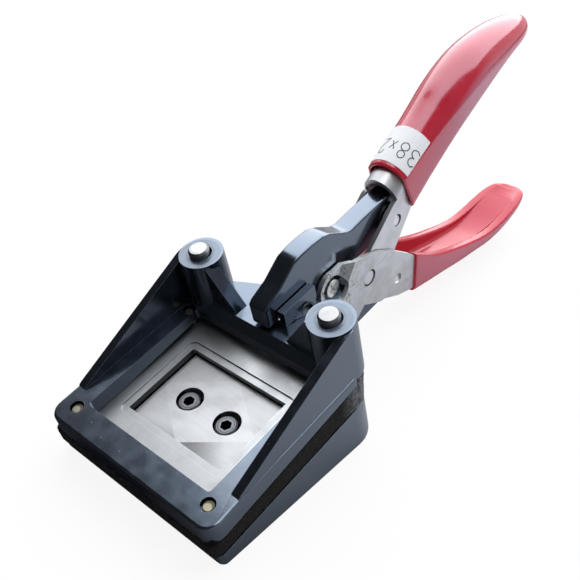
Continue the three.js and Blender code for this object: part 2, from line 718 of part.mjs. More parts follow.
function channelEnvelope(grow) {
  const back = [roofFront[0], ...channelBack.slice(0, channelStations)];
  const belly = [roofFront[1], ...channelBelly.slice(0, channelStations)];
  const halves = [channelHalf, ...gripHalf.slice(0, channelStations).map(channelHalfAt)];
  return sleeve(back, belly, halves, grow, steelGauge / 2);
}

const channelHalfAt = half => Math.min(channelHalf, half - gripWall - seatGap);

function makeHandleChannel() {
  const back = [roofFront[0], ...channelBack.slice(0, channelStations)];
  const belly = [roofFront[1], ...channelBelly.slice(0, channelStations)];
  const innerBack = inset(back, belly, steelGauge);
  const innerBelly = inset(belly, back, -overrun);
  const halves = [channelHalf, ...gripHalf.slice(0, channelStations).map(channelHalfAt)]
    .map(half => half - steelGauge);
  const stretch = (line, at, by) => line.map(
    ([y, z], i) => (i === at ? [y + by[0], z + by[1]] : [y, z]));
  const hollow = sleeve(stretch(innerBack, 0, [-overrun * 2, -overrun]),
    stretch(innerBelly, 0, [-overrun * 2, -overrun]), halves, 0, steelGauge / 3);
  const straps = cut(sidePrism(strapOutline, -channelHalf, channelHalf),
    sidePrism(strapHollow, -channelHalf + steelGauge, channelHalf - steelGauge));
  const holes = [
    crossBar(armPivotY, armPivotZ, -channelHalf - overrun, channelHalf + overrun, armPinRadius + runGap),
    crossBar(triggerPivotY, triggerPivotZ, -channelHalf - overrun, channelHalf + overrun,
      triggerPinRadius + runGap),
    ...tailRivets.map(([y, z]) => crossBar(y, z, -channelHalf - overrun, channelHalf + overrun,
      tailRivetRadius + runGap, tailRivetSteps)),
  ];
  place('handle_channel', cut(join(cut(channelEnvelope(0), hollow), straps), ...holes), 'steel');
}

const strapHollow = fromPins([
  [19.9, -30], [69.9, -30], [69.9, 16], [53.9, 16], [45.9, 12], [19.9, 0],
]);

function makeUpperGrip() {
  const body = sleeve(gripBack, gripBelly, gripHalf, 0, gripBottomRound);
  const core = join(channelEnvelope(seatGap),
    sidePrism(strapOutline, -channelHalf - seatGap, channelHalf + seatGap),
    crossBar(armPivotY, armPivotZ, -channelHalf, channelHalf, armEyeRadius + seatGap));
  place('upper_grip', cut(body, core), 'redGrip');
}

const labelZone = fromPins([
  [60.9, 24.4], [63.7, 15.4], [76.3, 21.2], [72.1, 30.6],
]);

function makeLabel() {
  const outer = sleeve(gripBack, gripBelly, gripHalf, labelGap + labelThickness, gripBottomRound);
  const inner = sleeve(gripBack, gripBelly, gripHalf, labelGap, gripBottomRound);
  const zone = sidePrism(labelZone, -channelHalf * 2, channelHalf * 2);
  place('size_label', cut(outer, inner).intersect(zone), 'paper');
}

// Press arm: a curved lever between the upper frame and the handle channel
const armTopShares = [
  [-0.286, 0.03], [-0.286, 0.47], [-0.255, 0.55], [-0.12, 0.685], [0.03, 0.95], [0.108, 0.99],
  [0.216, 1], [0.323, 0.97], [0.4, 0.86], [0.532, 0.59], [0.595, 0.54], [0.736, 0.56], [1, 0.566],
  [1.06, 0.56], [1.1, 0.46],
];
const armFootShares = [
  [1.07, -0.1], [1, -0.31], [0.8, -0.3], [0.595, -0.26], [0.45, -0.34], [0.33, -0.47],
  [0.24, -0.49], [0.1, -0.36], [0, -0.33], [-0.09, -0.24], [-0.155, 0.02],
];

function makePressArm() {
  const span = armPivotY - framePinY;
  const outline = [...armTopShares, ...armFootShares].map(
    ([t, h]) => [framePinY + span * t, armPivotZ + armCrown * h]);
  const shape = shapeOf(outline);
  const geometry = new THREE.ExtrudeGeometry(shape, {
    depth: 2 * (armHalf - armEdgeRound), bevelEnabled: true, bevelThickness: armEdgeRound,
    bevelSize: armEdgeRound, bevelOffset: -armEdgeRound, bevelSegments: 2 });
  geometry.applyMatrix4(new THREE.Matrix4().makeBasis(
    new THREE.Vector3(0, 1, 0), new THREE.Vector3(0, 0, 1), new THREE.Vector3(1, 0, 0)));
  geometry.translate(-armHalf + armEdgeRound, 0, 0);
  const reach = armHalf + overrun;
  const holes = [
    crossBar(framePinY, framePinZ, -reach, reach, framePinRadius + framePinPlay, smallSegments),
    crossBar(armPivotY, armPivotZ, -reach, reach, armPinRadius + runGap),
    crossBar(driveY, driveZ, -reach, reach, driveShankRadius + runGap, smallSegments),
  ];
  place('press_arm', cut(solid(geometry), ...holes), 'enamel');
}

function makeArmPins() {
  place('arm_pivot_pin', crossBar(armPivotY, armPivotZ, -channelHalf, channelHalf, armPinRadius), 'steel');
  const cheekOuter = armHalf + seatGap + rimRound / 9 + cheekThickness;
  place('frame_pin', crossBar(framePinY, framePinZ, -cheekOuter, cheekOuter, framePinRadius, smallSegments),
    'darkSteel');
  const inner = armHalf + seatGap;
  const outer = channelHalf - steelGauge - seatGap;
  for (const [name, side] of [['left', -1], ['right', 1]]) {
    const ring = crossBar(armPivotY, armPivotZ, Math.min(side * inner, side * outer),
      Math.max(side * inner, side * outer), armEyeRadius);
    const bore = crossBar(armPivotY, armPivotZ, -channelHalf, channelHalf, armPinRadius + runGap);
    place(`arm_spacer_${name}`, cut(ring, bore), 'steel');
  }
}

// Screw through the arm, with its head and nut in the noses of the trigger plates
function makeDriveScrew() {
  const headInner = armHalf + seatGap;
  const head = crossBar(driveY, driveZ, headInner, headInner + driveHeadHeight, driveHeadRadius);
  const shank = crossBar(driveY, driveZ, -armHalf - seatGap - driveHeadHeight, headInner + seatGap,
    driveShankRadius, smallSegments);
  const slots = [0, 1].map(turn => {
    const bar = new THREE.BoxGeometry(driveRecess * 2, driveHeadRadius * driveSlotShare, driveRecess);
    bar.rotateX(turn * Math.PI / 2 + driveSlotTurn);
    bar.translate(headInner + driveHeadHeight, driveY, driveZ);
    return solid(bar);
  });
  place('drive_screw', cut(join(head, shank), ...slots), 'zinc');
  const nut = cut(crossBar(driveY, driveZ, -armHalf - seatGap - driveHeadHeight, -armHalf - seatGap, nutRadius, 6),
    crossBar(driveY, driveZ, -channelHalf, 0, driveShankRadius + runGap, smallSegments));
  place('drive_nut', nut, 'zinc');
}

// Trigger lever: two side plates with stepped-in noses, joined by a web under the grip
const leverTop = fromPins([
  [30.3, 5.3], [36.4, 3.5], [44.2, -0.7], [50, -5], [57.7, -12.2], [60.3, -15],
]);
const leverFoot = fromPins([
  [58.7, -28.9], [56.1, -28.1], [50.1, -25.6], [43.1, -21.2], [40.3, -20.4], [32.8, -15.4],
  [23.4, -6.6],
]);
const [bendTop] = fromPins([[30.8, 5.1]]);
const [bendFoot] = fromPins([[22.8, -4.4]]);
const leverStations = triggerRim.length - 3;

function leverOutline(grow) {
  const [rim, under] = [[triggerRim, triggerUnder], [triggerUnder, triggerRim]].map(
    ([line, other]) => inset(line, other, gripLining + seatGap - grow).slice(1, leverStations)
      .map(([y, z], i, all) => [i === all.length - 1 ? y + grow : y, z]));
  const nose = [];
  for (let i = 0; i <= noseSteps; i += 1) {
    const a = lerp(noseFootAngle, noseTopAngle, i / noseSteps);
    nose.push([driveY + noseRadius * Math.cos(a), driveZ + noseRadius * Math.sin(a)]);
  }
  return [...nose, ...leverTop, ...rim, ...under.reverse(), ...leverFoot];
}

const bendLap = 0.05;
const mouthRise = 0.3;
const noseSteps = 12;
const noseTopAngle = THREE.MathUtils.degToRad(75);
const noseFootAngle = THREE.MathUtils.degToRad(275);

// Splits a side plate at the bend and shifts its nose towards the arm
function leverPlate(side) {
  const flat = sidePrism(leverOutline(0), Math.min(side * plateInner, side * plateOuter),
    Math.max(side * plateInner, side * plateOuter));
  const along = new THREE.Vector2(bendTop[0] - bendFoot[0], bendTop[1] - bendFoot[1]).normalize();
  const ahead = new THREE.Vector2(-along.y, along.x);
  const far = frameWidth * 4;
  const zone = (from, to) => sidePrism([
    [bendFoot[0] - along.x * far + ahead.x * from, bendFoot[1] - along.y * far + ahead.y * from],
    [bendFoot[0] + along.x * far + ahead.x * from, bendFoot[1] + along.y * far + ahead.y * from],
    [bendFoot[0] + along.x * far + ahead.x * to, bendFoot[1] + along.y * far + ahead.y * to],
    [bendFoot[0] - along.x * far + ahead.x * to, bendFoot[1] - along.y * far + ahead.y * to],
  ], -frameHalf, frameHalf);
  const shift = (body, shareAt) => {
    const geometry = geometryOf(body);
    const at = geometry.attributes.position;
    for (let i = 0; i < at.count; i += 1) {
      const d = (at.getY(i) - bendFoot[0]) * ahead.x + (at.getZ(i) - bendFoot[1]) * ahead.y;
      at.setX(i, at.getX(i) - side * noseStep * shareAt(d));
    }
    return solid(geometry);
  };
  return join(flat.intersect(zone(-far, 0)),
    shift(flat.intersect(zone(-bendLap, noseRun + bendLap)),
      d => THREE.MathUtils.clamp((d + bendLap) / (noseRun + 2 * bendLap), 0, 1)),
    shift(flat.intersect(zone(noseRun, far)), () => 1));
}

function leverWeb(grow) {
  const under = inset(triggerUnder, triggerRim, gripLining + seatGap - grow).slice(0, leverStations);
  const upper = inset(triggerUnder, triggerRim, gripLining + seatGap + steelGauge + grow)
    .slice(0, leverStations);
  const end = upper.length - 1;
  const mouthGrow = grow * 4;
  for (const line of [upper, under]) {
    line[end] = [line[end][0] + grow, line[end][1]];
    line[0] = [line[0][0] - mouthGrow, line[0][1] + mouthGrow * mouthRise];
  }
  return sidePrism([...under, ...upper.reverse()], -plateOuter - grow, plateOuter + grow);
}

function makeTriggerLever() {
  const reach = plateOuter + overrun;
  const holes = [
    crossBar(triggerPivotY, triggerPivotZ, -reach, reach, triggerHoleRadius),
    crossBar(driveY, driveZ, -reach, reach, noseHoleRadius),
    crossBar(crossPinY, crossPinZ, -reach, reach, crossHoleRadius, smallSegments),
  ];
  place('trigger_lever', cut(join(leverPlate(1), leverPlate(-1), leverWeb(0)), ...holes), 'steel');
}

function makeTriggerPins() {
  const reach = plateOuter - seatGap;
  place('trigger_pivot_pin', crossBar(triggerPivotY, triggerPivotZ, -reach, reach, triggerPinRadius), 'steel');
  place('trigger_cross_pin', crossBar(crossPinY, crossPinZ, -reach, reach, crossPinRadius, smallSegments),
    'steel');
  tailRivets.forEach(([y, z], i) => place(`tail_rivet_${['front', 'rear'][i]}`,
    crossBar(y, z, -channelHalf, channelHalf, tailRivetRadius, tailRivetSteps), 'steel'));
}

function makeTriggerGrip() {
  const body = sleeveUpright(0);
  const lining = gripLining * 2 + seatGap * 2 + steelGauge;
  const floor = inset(triggerUnder, triggerRim, lining);
  const lid = inset(triggerRim, triggerUnder, -overrun);
  const troughStations = leverStations + 1;
  const trough = outward(loft(floor.slice(0, troughStations).map(
    (point, i) => boxRing(lid[i], point, plateInner - seatGap - gripLining, i === 0 ? -overrun : 0))));
  const plates = [-1, 1].map(side => sidePrism(leverOutline(seatGap),
    Math.min(side * (plateInner - seatGap), side * (plateOuter + seatGap)),
    Math.max(side * (plateInner - seatGap), side * (plateOuter + seatGap))));
  place('trigger_grip', cut(body, trough, ...plates, leverWeb(seatGap)), 'redGrip');
}

function boxRing(first, second, half, shift) {
  const low = Math.min(1, half);
  return [[half, first], [half, lerpPair(second, first, 0.2)], [half - low, second],
    [low - half, second], [-half, lerpPair(second, first, 0.2)], [-half, first]]
    .map(([x, [y, z]]) => new THREE.Vector3(x, y + shift, z));
}

const lerpPair = (a, b, t) => [lerp(a[0], b[0], t), lerp(a[1], b[1], t)];

function sleeveUpright(grow) {
  return outward(loft(triggerHalf.map((half, i) => {
    const first = triggerUnder[i];
    const second = triggerRim[i];
    return roundBoxRing(first, second, half + grow, triggerRound[i], gripLining);
  })));
}

// Closed ring between an underside point and a rim point, with rounded corners
function roundBoxRing(under, rim, half, underRound, rimRounding) {
  const along = new THREE.Vector2(rim[0] - under[0], rim[1] - under[1]);
  const height = along.length();
  along.normalize();
  const low = Math.min(underRound, height * archShare);
  const high = Math.min(rimRounding, (height - low) * archShare);
  const flat = [];
  const quarter = Math.PI / 2;
  const corner = (cx, cy, radius, from) => {
    for (let i = 0; i <= cornerSteps; i += 1) {
      const a = from + quarter * i / cornerSteps;
      flat.push([cx + radius * Math.cos(a), cy + radius * Math.sin(a)]);
    }
  };
  corner(half - low, low, low, -quarter);
  corner(half - high, height - high, high, 0);
  corner(high - half, height - high, high, quarter);
  corner(low - half, low, low, 2 * quarter);
  return flat.map(([x, n]) => new THREE.Vector3(x, under[0] + along.x * n, under[1] + along.y * n));
}

makeUpperFrame();
makeDiePlate();
makeRimScrews();
makePunchBlock();
makeLowerCasting();
makeFoamPad();
makeGuidePins();
makeReturnSprings();
makeHandleChannel();
makeUpperGrip();
makeLabel();
makePressArm();
makeArmPins();
makeDriveScrew();
makeTriggerLever();
makeTriggerPins();
makeTriggerGrip();

// Stand the punch on its underside, with the origin at the middle of that face
const standMidY = (baseRear - baseFront + baseFrontRound) / 2;
const standMidZ = baseZ(standMidY);
const stand = new THREE.Group();
punch.rotation.x = standTilt;
punch.position.set(0,
  -(standMidY * Math.cos(standTilt) - standMidZ * Math.sin(standTilt)),
  -(standMidY * Math.sin(standTilt) + standMidZ * Math.cos(standTilt)));
stand.add(punch);

export default stand;
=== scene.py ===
import json
import math

import bmesh
import bpy
from mathutils import Matrix, Vector

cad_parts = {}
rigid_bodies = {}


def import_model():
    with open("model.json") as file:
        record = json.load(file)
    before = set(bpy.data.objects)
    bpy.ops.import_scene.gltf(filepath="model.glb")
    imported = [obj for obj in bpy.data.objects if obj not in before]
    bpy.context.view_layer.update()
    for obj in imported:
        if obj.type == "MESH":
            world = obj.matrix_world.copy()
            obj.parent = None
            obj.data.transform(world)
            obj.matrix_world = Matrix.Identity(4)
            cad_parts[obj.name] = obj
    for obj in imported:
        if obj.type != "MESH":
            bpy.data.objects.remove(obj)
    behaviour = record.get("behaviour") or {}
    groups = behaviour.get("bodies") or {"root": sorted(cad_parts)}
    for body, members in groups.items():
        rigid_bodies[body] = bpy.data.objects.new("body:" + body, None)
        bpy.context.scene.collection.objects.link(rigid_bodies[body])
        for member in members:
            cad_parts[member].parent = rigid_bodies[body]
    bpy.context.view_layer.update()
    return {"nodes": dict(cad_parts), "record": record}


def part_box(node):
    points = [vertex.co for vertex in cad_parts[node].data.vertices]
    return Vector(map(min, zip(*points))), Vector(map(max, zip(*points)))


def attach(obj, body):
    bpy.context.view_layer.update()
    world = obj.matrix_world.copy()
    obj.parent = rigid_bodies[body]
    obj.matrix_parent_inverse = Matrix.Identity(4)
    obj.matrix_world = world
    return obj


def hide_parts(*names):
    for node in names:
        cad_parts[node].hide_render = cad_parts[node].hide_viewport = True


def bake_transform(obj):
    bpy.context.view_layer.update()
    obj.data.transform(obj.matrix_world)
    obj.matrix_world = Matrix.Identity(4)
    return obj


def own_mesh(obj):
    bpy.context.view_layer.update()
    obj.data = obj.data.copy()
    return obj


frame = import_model()
print("frame loaded:", len(frame["nodes"]), "nodes")

mm = 0.001
nodeBody = {}
for bodyName, names in frame["record"]["behaviour"]["bodies"].items():
    for nodeName in names:
        nodeBody[nodeName] = bodyName

# The punch stands tilted: plate coordinates run along its window and guide pins, in millimetres
stand = {"tilt": 11.8, "shiftY": -9.1167, "shiftZ": 22.6118}
plateToRow = Matrix.Translation((0, stand["shiftY"] * mm, stand["shiftZ"] * mm)) @ Matrix.Rotation(
    math.radians(stand["tilt"]), 4, "X")
layout = {"pinX": 25.4, "pinY": 30.1, "bed": -12.2, "punchTop": -8.6, "stroke": 3}
weld = {"copy": 2e-6, "own": 1e-6, "flat": 1.0}  # metres, metres and degrees


def place(x, y, z):
    return plateToRow @ Vector((x * mm, y * mm, z * mm))


def objectFrom(name, mesh):
    obj = bpy.data.objects.new(name, mesh)
    bpy.context.scene.collection.objects.link(obj)
    return obj


def objectFromPlate(name, points, faces):  # points in plate millimetres
    mesh = bpy.data.meshes.new(name)
    mesh.from_pydata([place(*p) for p in points], [], faces)
    return objectFrom(name, mesh)


def bakeModifiers(obj):
    graph = bpy.context.evaluated_depsgraph_get()
    mesh = bpy.data.meshes.new_from_object(obj.evaluated_get(graph), depsgraph=graph)
    old = obj.data
    obj.modifiers.clear()
    obj.data = mesh
    bpy.data.meshes.remove(old)
    return obj


def cleanCopy(nodeName, name):
    mesh = frame["nodes"][nodeName].data.copy()
    mesh.materials.clear()
    bm = bmesh.new()
    bm.from_mesh(mesh)
    bmesh.ops.remove_doubles(bm, verts=bm.verts, dist=weld["copy"])
    bmesh.ops.dissolve_limit(bm, angle_limit=math.radians(weld["flat"]), verts=bm.verts, edges=bm.edges,
                             use_dissolve_boundaries=False)
    bmesh.ops.dissolve_degenerate(bm, dist=weld["copy"], edges=bm.edges)
    bm.to_mesh(mesh)
    bm.free()
    return objectFrom(name, mesh)


def softEdges(obj, width, segments=2, angle=28):
    bevel = obj.modifiers.new("edges", "BEVEL")
    bevel.width = width * mm
    bevel.segments = segments
    bevel.limit_method = "ANGLE"
    bevel.angle_limit = math.radians(angle)
    bevel.use_clamp_overlap = True
    bevel.miter_outer = "MITER_ARC"
    return bakeModifiers(obj)


def shade(obj, angle=32):
    for polygon in obj.data.polygons:
        polygon.use_smooth = True
    obj.data.set_sharp_from_angle(angle=math.radians(angle))


def weighNormals(obj):  # flat faces stay flat beside their eased edges
    weigh = obj.modifiers.new("weigh", "WEIGHTED_NORMAL")
    weigh.mode = "FACE_AREA"
    weigh.keep_sharp = True
    return bakeModifiers(obj)


def outward(obj):
    bm = bmesh.new()
    bm.from_mesh(obj.data)
    bmesh.ops.remove_doubles(bm, verts=bm.verts, dist=weld["own"])
    bmesh.ops.recalc_face_normals(bm, faces=bm.faces)
    bm.to_mesh(obj.data)
    bm.free()
    return obj


def finishPiece(obj, body, material, nodes, angle=32, weighed=False):
    if material is not None:
        obj.data.materials.clear()
        obj.data.materials.append(material)
    shade(obj, angle)
    if weighed:
        weighNormals(obj)
    if body:
        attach(obj, body)
    if nodes:
        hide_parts(*nodes)
    return obj


# Node trees: a field is one socket, and plain sums on fields add their maths nodes
class Field:
    def __init__(self, tree, socket):
        self.tree = tree
        self.socket = socket

    def work(self, operation, first, second):
        return self.tree.node("ShaderNodeMath", {"operation": operation}, {0: first, 1: second})

    def __add__(self, other):
        return self.work("ADD", self, other)

    def __sub__(self, other):
        return self.work("SUBTRACT", self, other)

    def __rsub__(self, other):
        return self.work("SUBTRACT", other, self)

    def __mul__(self, other):
        return self.work("MULTIPLY", self, other)

    def __truediv__(self, other):
        return self.work("DIVIDE", self, other)

    def __pow__(self, other):
        return self.work("POWER", self, other)

    def __abs__(self):
        return self.work("ABSOLUTE", self, 0)

    __radd__ = __add__
    __rmul__ = __mul__


class NodeTree:
    def __init__(self, tree):
        self.tree = tree

    def node(self, kind, settings=None, sockets=None, out=0):
        made = self.tree.nodes.new(kind)
        for key, value in (settings or {}).items():
            setattr(made, key, value)
        for key, value in (sockets or {}).items():
            if isinstance(value, Field):
                self.tree.links.new(value.socket, made.inputs[key])
            else:
                made.inputs[key].default_value = value
        return Field(self, made.outputs[out]) if len(made.outputs) else None

    def window(self, value, low, high, start=0.0, end=1.0):  # a smooth step from start to end
        return self.node("ShaderNodeMapRange", {"interpolation_type": "SMOOTHSTEP"}, {
            "Value": value, 1: low, 2: high, 3: start, 4: end})

    def dot(self, first, second):
        return self.node("ShaderNodeVectorMath", {"operation": "DOT_PRODUCT"}, {0: first, 1: second}, "Value")


shaderInputs = {"coat": "Coat Weight", "coatRough": "Coat Roughness", "coatIor": "Coat IOR", "ior": "IOR",
                "specular": "Specular IOR Level", "specTint": "Specular Tint"}


class Finish(NodeTree):
    def __init__(self, name):
        self.material = bpy.data.materials.new(name)
        self.material.use_nodes = True
        super().__init__(self.material.node_tree)
        self.tree.nodes.clear()
        spot = self.node("ShaderNodeTexCoord", {}, {}, "Object")
        self.plate = self.node("ShaderNodeMapping", {"vector_type": "TEXTURE"}, {
            "Vector": spot, "Location": (0, stand["shiftY"] * mm, stand["shiftZ"] * mm),
            "Rotation": (math.radians(stand["tilt"]), 0, 0), "Scale": (mm, mm, mm)})

    def spread(self, size, stretch=(1, 1, 1), turn=(0, 0, 0)):  # size of the pattern in millimetres
        return self.node("ShaderNodeMapping", {"vector_type": "POINT"}, {
            "Vector": self.plate, "Rotation": turn, "Scale": [1 / (size * s) for s in stretch]})

    def noise(self, size, detail=3, stretch=(1, 1, 1), rough=0.5, turn=(0, 0, 0)):
        return self.node("ShaderNodeTexNoise", {}, {
            "Vector": self.spread(size, stretch, turn), "Scale": 1, "Detail": detail, "Roughness": rough})

    def parts(self):  # plate millimetres: across, along and up
        return [self.node("ShaderNodeSeparateXYZ", {}, {"Vector": self.plate}, k) for k in ("X", "Y", "Z")]

    def specks(self, size, radius, share):
        vector = self.spread(size)
        near = self.node("ShaderNodeTexVoronoi", {}, {"Vector": vector, "Scale": 1}, "Distance")
        pick = self.node("ShaderNodeTexVoronoi", {}, {"Vector": vector, "Scale": 1}, "Color")
        chance = self.node("ShaderNodeSeparateColor", {}, {"Color": pick}, 0)
        return self.window(near, radius * 0.5, radius, 1, 0) * self.window(chance, 1 - share, 1 - share + 0.01)

    def edges(self, radius, low=0.02, high=0.12):
        bent = self.node("ShaderNodeBevel", {"samples": 4}, {"Radius": radius * mm})
        flat = self.node("ShaderNodeNewGeometry", {}, {}, "Normal")
        return self.window(1 - self.dot(bent, flat), low, high)

    def mix(self, share, first, second):
        pair = [tuple(c) + (1,) if isinstance(c, (tuple, list)) else c for c in (first, second)]
        return self.node("ShaderNodeMix", {"data_type": "RGBA"}, {0: share, 6: pair[0], 7: pair[1]}, 2)

    def relief(self, height, strength, distance):
        return self.node("ShaderNodeBump", {}, {"Height": height, "Strength": strength, "Distance": distance * mm})

    def close(self, colour, rough, metal=0.0, normal=None, **extra):
        values = {"Base Color": colour if isinstance(colour, Field) else (*colour, 1), "Roughness": rough,
                  "Metallic": metal}
        if normal is not None:
            values["Normal"] = normal
        for key, value in extra.items():
            values[shaderInputs[key]] = value
        shader = self.node("ShaderNodeBsdfPrincipled", {}, values)
        self.node("ShaderNodeOutputMaterial", {}, {"Surface": shader})
        return self.material


# Where the finishes change on the pieces, in plate millimetres
bossTopAt = {"rim": (6.6, 6.4), "foot": (16.5, 17.2), "dish": (4.3, 4.7)}
dieOpening = {"halfX": (19.16, 19.08), "halfY": (13.66, 13.58), "middleY": -0.5,
              "front": (-13.5, -13.4), "right": (18.8, 18.7)}
rimScrew = {"x": 27.2, "middleY": -2, "halfY": 22.9, "edge": (1.0, 1.5)}
punchTop = {"halfX": 18.9, "halfY": 13.4, "line": (0.995, 1.005), "wellX": 7.752, "wellY": -0.5,
            "wellEdge": (4.6, 4.4), "wellDepth": (0.25, 0.45)}
capHead = {"socket": (-9.45, -9.2), "foot": (-20, -19), "rear": (20, 18), "grooveIn": (2.3, 2.42),
           "grooveOut": (2.68, 2.56)}
noseSpot = {"centre": (8.5, 52.5, 0), "reach": (5.5, 13)}
gripSide = (6.5, 11)
foamCorner = {"along": (20, 29.5), "across": (29.5, 32.5)}


def makeEnamel(name):
    m = Finish(name)
    cloud = m.noise(9, 4)
    dust = m.specks(2.1, 0.055, 0.35) + m.specks(1.1, 0.05, 0.12) * 0.7
    # the eased edges are painted lighter: partly edge wear, partly a painted highlight along the rounded edges
    worn = m.edges(0.4, 0.05, 0.3) * m.window(m.noise(1.6, 4), 0.3, 0.6, 0.45, 1)
    base = m.mix(cloud, (0.002, 0.0024, 0.0036), (0.0045, 0.0053, 0.0075))
    base = m.mix(worn * 0.6, base, (0.24, 0.265, 0.31))
    base = m.mix(dust * 0.45, base, (0.4, 0.42, 0.45))
    skin = m.noise(1.3, 2) * 0.5 + m.noise(8, 2) * 0.25
    across, along, up = m.parts()
    reach = ((abs(across) - layout["pinX"]) ** 2 + (along - layout["pinY"]) ** 2) ** 0.5
    bossTop = m.window(reach, *bossTopAt["rim"]) * m.window(up, *bossTopAt["foot"])
    dish = m.window(reach, *bossTopAt["dish"]) * bossTop
    skin = skin + dish * 5
    roughness = m.window(m.noise(5, 5), 0.3, 0.75, 0.16, 0.27) + dust * 0.3 + bossTop * (0.34 - dish * 0.12)
    return m.close(base, roughness, 0.0, m.relief(skin, 0.2, 0.05), specular=1.0, ior=1.9,
                   specTint=(0.6, 0.76, 1.0, 1), coat=0.45, coatRough=0.06, coatIor=1.6)


def makeSteel(name, tint, rough, grain=(14, 0.35, 6), turn=(0, 0, 0), stain=0.15, scratch=0.4, stainTint=None,
              relief=0.12, diamond=0.0, paintedWallShade=0.0, headEdgeShade=0.0):
    m = Finish(name)
    lines = m.noise(1.0, 6, grain, 0.62, turn)
    cloud = m.noise(7, 5, rough=0.6)
    marks = m.window(m.noise(1.9, 3, (9, 0.16, 3), 0.5, (0.3, 0.2, 0.7)), 0.69, 0.73)
    marks = marks + m.window(m.noise(2.3, 3, (8, 0.14, 8), 0.5, (0.9, 0.1, -0.5)), 0.7, 0.74)
    worn = m.edges(0.35, 0.05, 0.35)
    dull = stainTint or [c * 0.62 for c in tint]
    base = m.mix(m.window(cloud, 0.42, 0.72) * stain, tint, dull)
    base = m.mix(m.window(lines, 0.35, 0.7) * 0.22, base, [c * 0.72 for c in tint])
    across, along, up = m.parts() if diamond or paintedWallShade or headEdgeShade else (0, 0, 0)
    if diamond:  # the punch's top is painted darker outside a ground diamond: a painted shade for the corners that fall away
        away = abs(across) / punchTop["halfX"] + abs(along) / punchTop["halfY"]
        base = m.mix(m.window(away, *punchTop["line"]) * diamond, base, [c * 0.8 for c in tint])
    base = m.mix(marks * scratch, base, [min(1, c * 1.35) for c in tint])
    base = m.mix(worn * 0.8, base, [min(1, c * 1.6) for c in tint])
    if diamond:  # its screw wells are painted near-black: painted shade in the wells
        well = ((abs(across) - punchTop["wellX"]) ** 2 + (along - punchTop["wellY"]) ** 2) ** 0.5
        depths = [layout["punchTop"] - depth for depth in punchTop["wellDepth"]]
        paintedWellShade = m.window(well, *punchTop["wellEdge"]) * m.window(up, *depths)
        base = m.mix(paintedWellShade, base, (0.012, 0.012, 0.014))
    if paintedWallShade:  # the rear and left walls of the opening are painted near-black: painted shade inside the opening
        inside = m.window(abs(across), *dieOpening["halfX"])
        inside = inside * m.window(abs(along - dieOpening["middleY"]), *dieOpening["halfY"])
        inside = inside * m.window(along, *dieOpening["front"]) * m.window(across, *dieOpening["right"])
        base = m.mix(inside * paintedWallShade, base, (0.02, 0.021, 0.024))
    if headEdgeShade:  # a screw head, painted dark round its edge: a painted shadow of the well round it
        beside = abs(along - rimScrew["middleY"]) - rimScrew["halfY"]
        head = ((abs(across) - rimScrew["x"]) ** 2 + beside ** 2) ** 0.5
        base = m.mix(m.window(head, *rimScrew["edge"]) * headEdgeShade, base, [c * 0.1 for c in tint])
    roughness = m.window(lines, 0.3, 0.7, rough - 0.04, rough + 0.06) + m.window(cloud, 0.4, 0.7) * 0.06
    return m.close(base, roughness, 1.0, m.relief(lines * 0.5 - marks * 0.6, relief, 0.02))


def makeLeverSteel():
    m = Finish("leverSteel")
    lines = m.noise(1.0, 6, (5, 5, 0.4), 0.6, (0.6, 0, 0))
    cloud = m.noise(6, 5, rough=0.65)
    fine = m.noise(0.9, 4, rough=0.7)
    gap = m.node("ShaderNodeVectorMath", {"operation": "DISTANCE"}, {0: m.plate, 1: noseSpot["centre"]}, "Value")
    nose = m.window(gap, *noseSpot["reach"], 1, 0)  # the nose is stained round the drive screw
    stain = m.window(m.noise(1.7, 5, (1, 0.7, 1.2), 0.7), 0.5, 0.66) * nose
    marks = m.window(m.noise(2.0, 3, (3, 9, 0.15), 0.5, (0.75, 0, 0)), 0.68, 0.72)
    marks = marks + m.window(m.noise(2.6, 3, (3, 10, 0.12), 0.5, (-0.35, 0, 0)), 0.7, 0.74)
    worn = m.edges(0.35, 0.05, 0.35)
    base = m.mix(m.window(cloud, 0.38, 0.72) * 0.5, (0.74, 0.755, 0.775), (0.5, 0.505, 0.52))
    base = m.mix(m.window(lines, 0.4, 0.7) * 0.3, base, (0.55, 0.56, 0.58))
    base = m.mix(stain * 0.8, base, (0.11, 0.085, 0.06))
    base = m.mix(marks * 0.55, base, (0.2, 0.2, 0.21))
    base = m.mix(worn * 0.6, base, (0.82, 0.83, 0.85))
    roughness = m.window(cloud, 0.35, 0.7, 0.34, 0.5) + stain * 0.2 + fine * 0.05
    return m.close(base, roughness, m.window(stain, 0.2, 1, 1, 0.55),
                   m.relief(lines + fine * 0.5 - marks, 0.25, 0.04))


def makeVinyl(name, gloss, coat, bend, paintedSideReflection):
    m = Finish(name)
    cloud = m.noise(14, 3)
    skin = m.noise(11, 2) * 1.6 + m.noise(1.4, 3) * 0.12
    dust = m.specks(2.6, 0.03, 0.2)
    base = m.mix(cloud, (0.5, 0.009, 0.028), (0.58, 0.013, 0.038))
    base = m.mix(dust * 0.1, base, (0.85, 0.6, 0.62))
    normal = m.node("ShaderNodeNewGeometry", {}, {}, "Normal")
    sideways = m.node("ShaderNodeSeparateXYZ", {}, {"Vector": normal}, "X") * m.parts()[0]
    base = m.mix(m.window(sideways, *gripSide) * paintedSideReflection, base, (0.45, 0.18, 0.26))  # the outer sides are painted mauve: a painted reflection of the pale floor
    return m.close(base, m.window(m.noise(4, 4), 0.3, 0.7, 0.13, 0.2) + dust * 0.2, 0.0,
                   m.relief(skin, 0.18, 0.06), coat=coat, coatRough=0.04, coatIor=1.5, specular=gloss, ior=bend,
                   specTint=(0.78, 0.85, 1.0, 1))


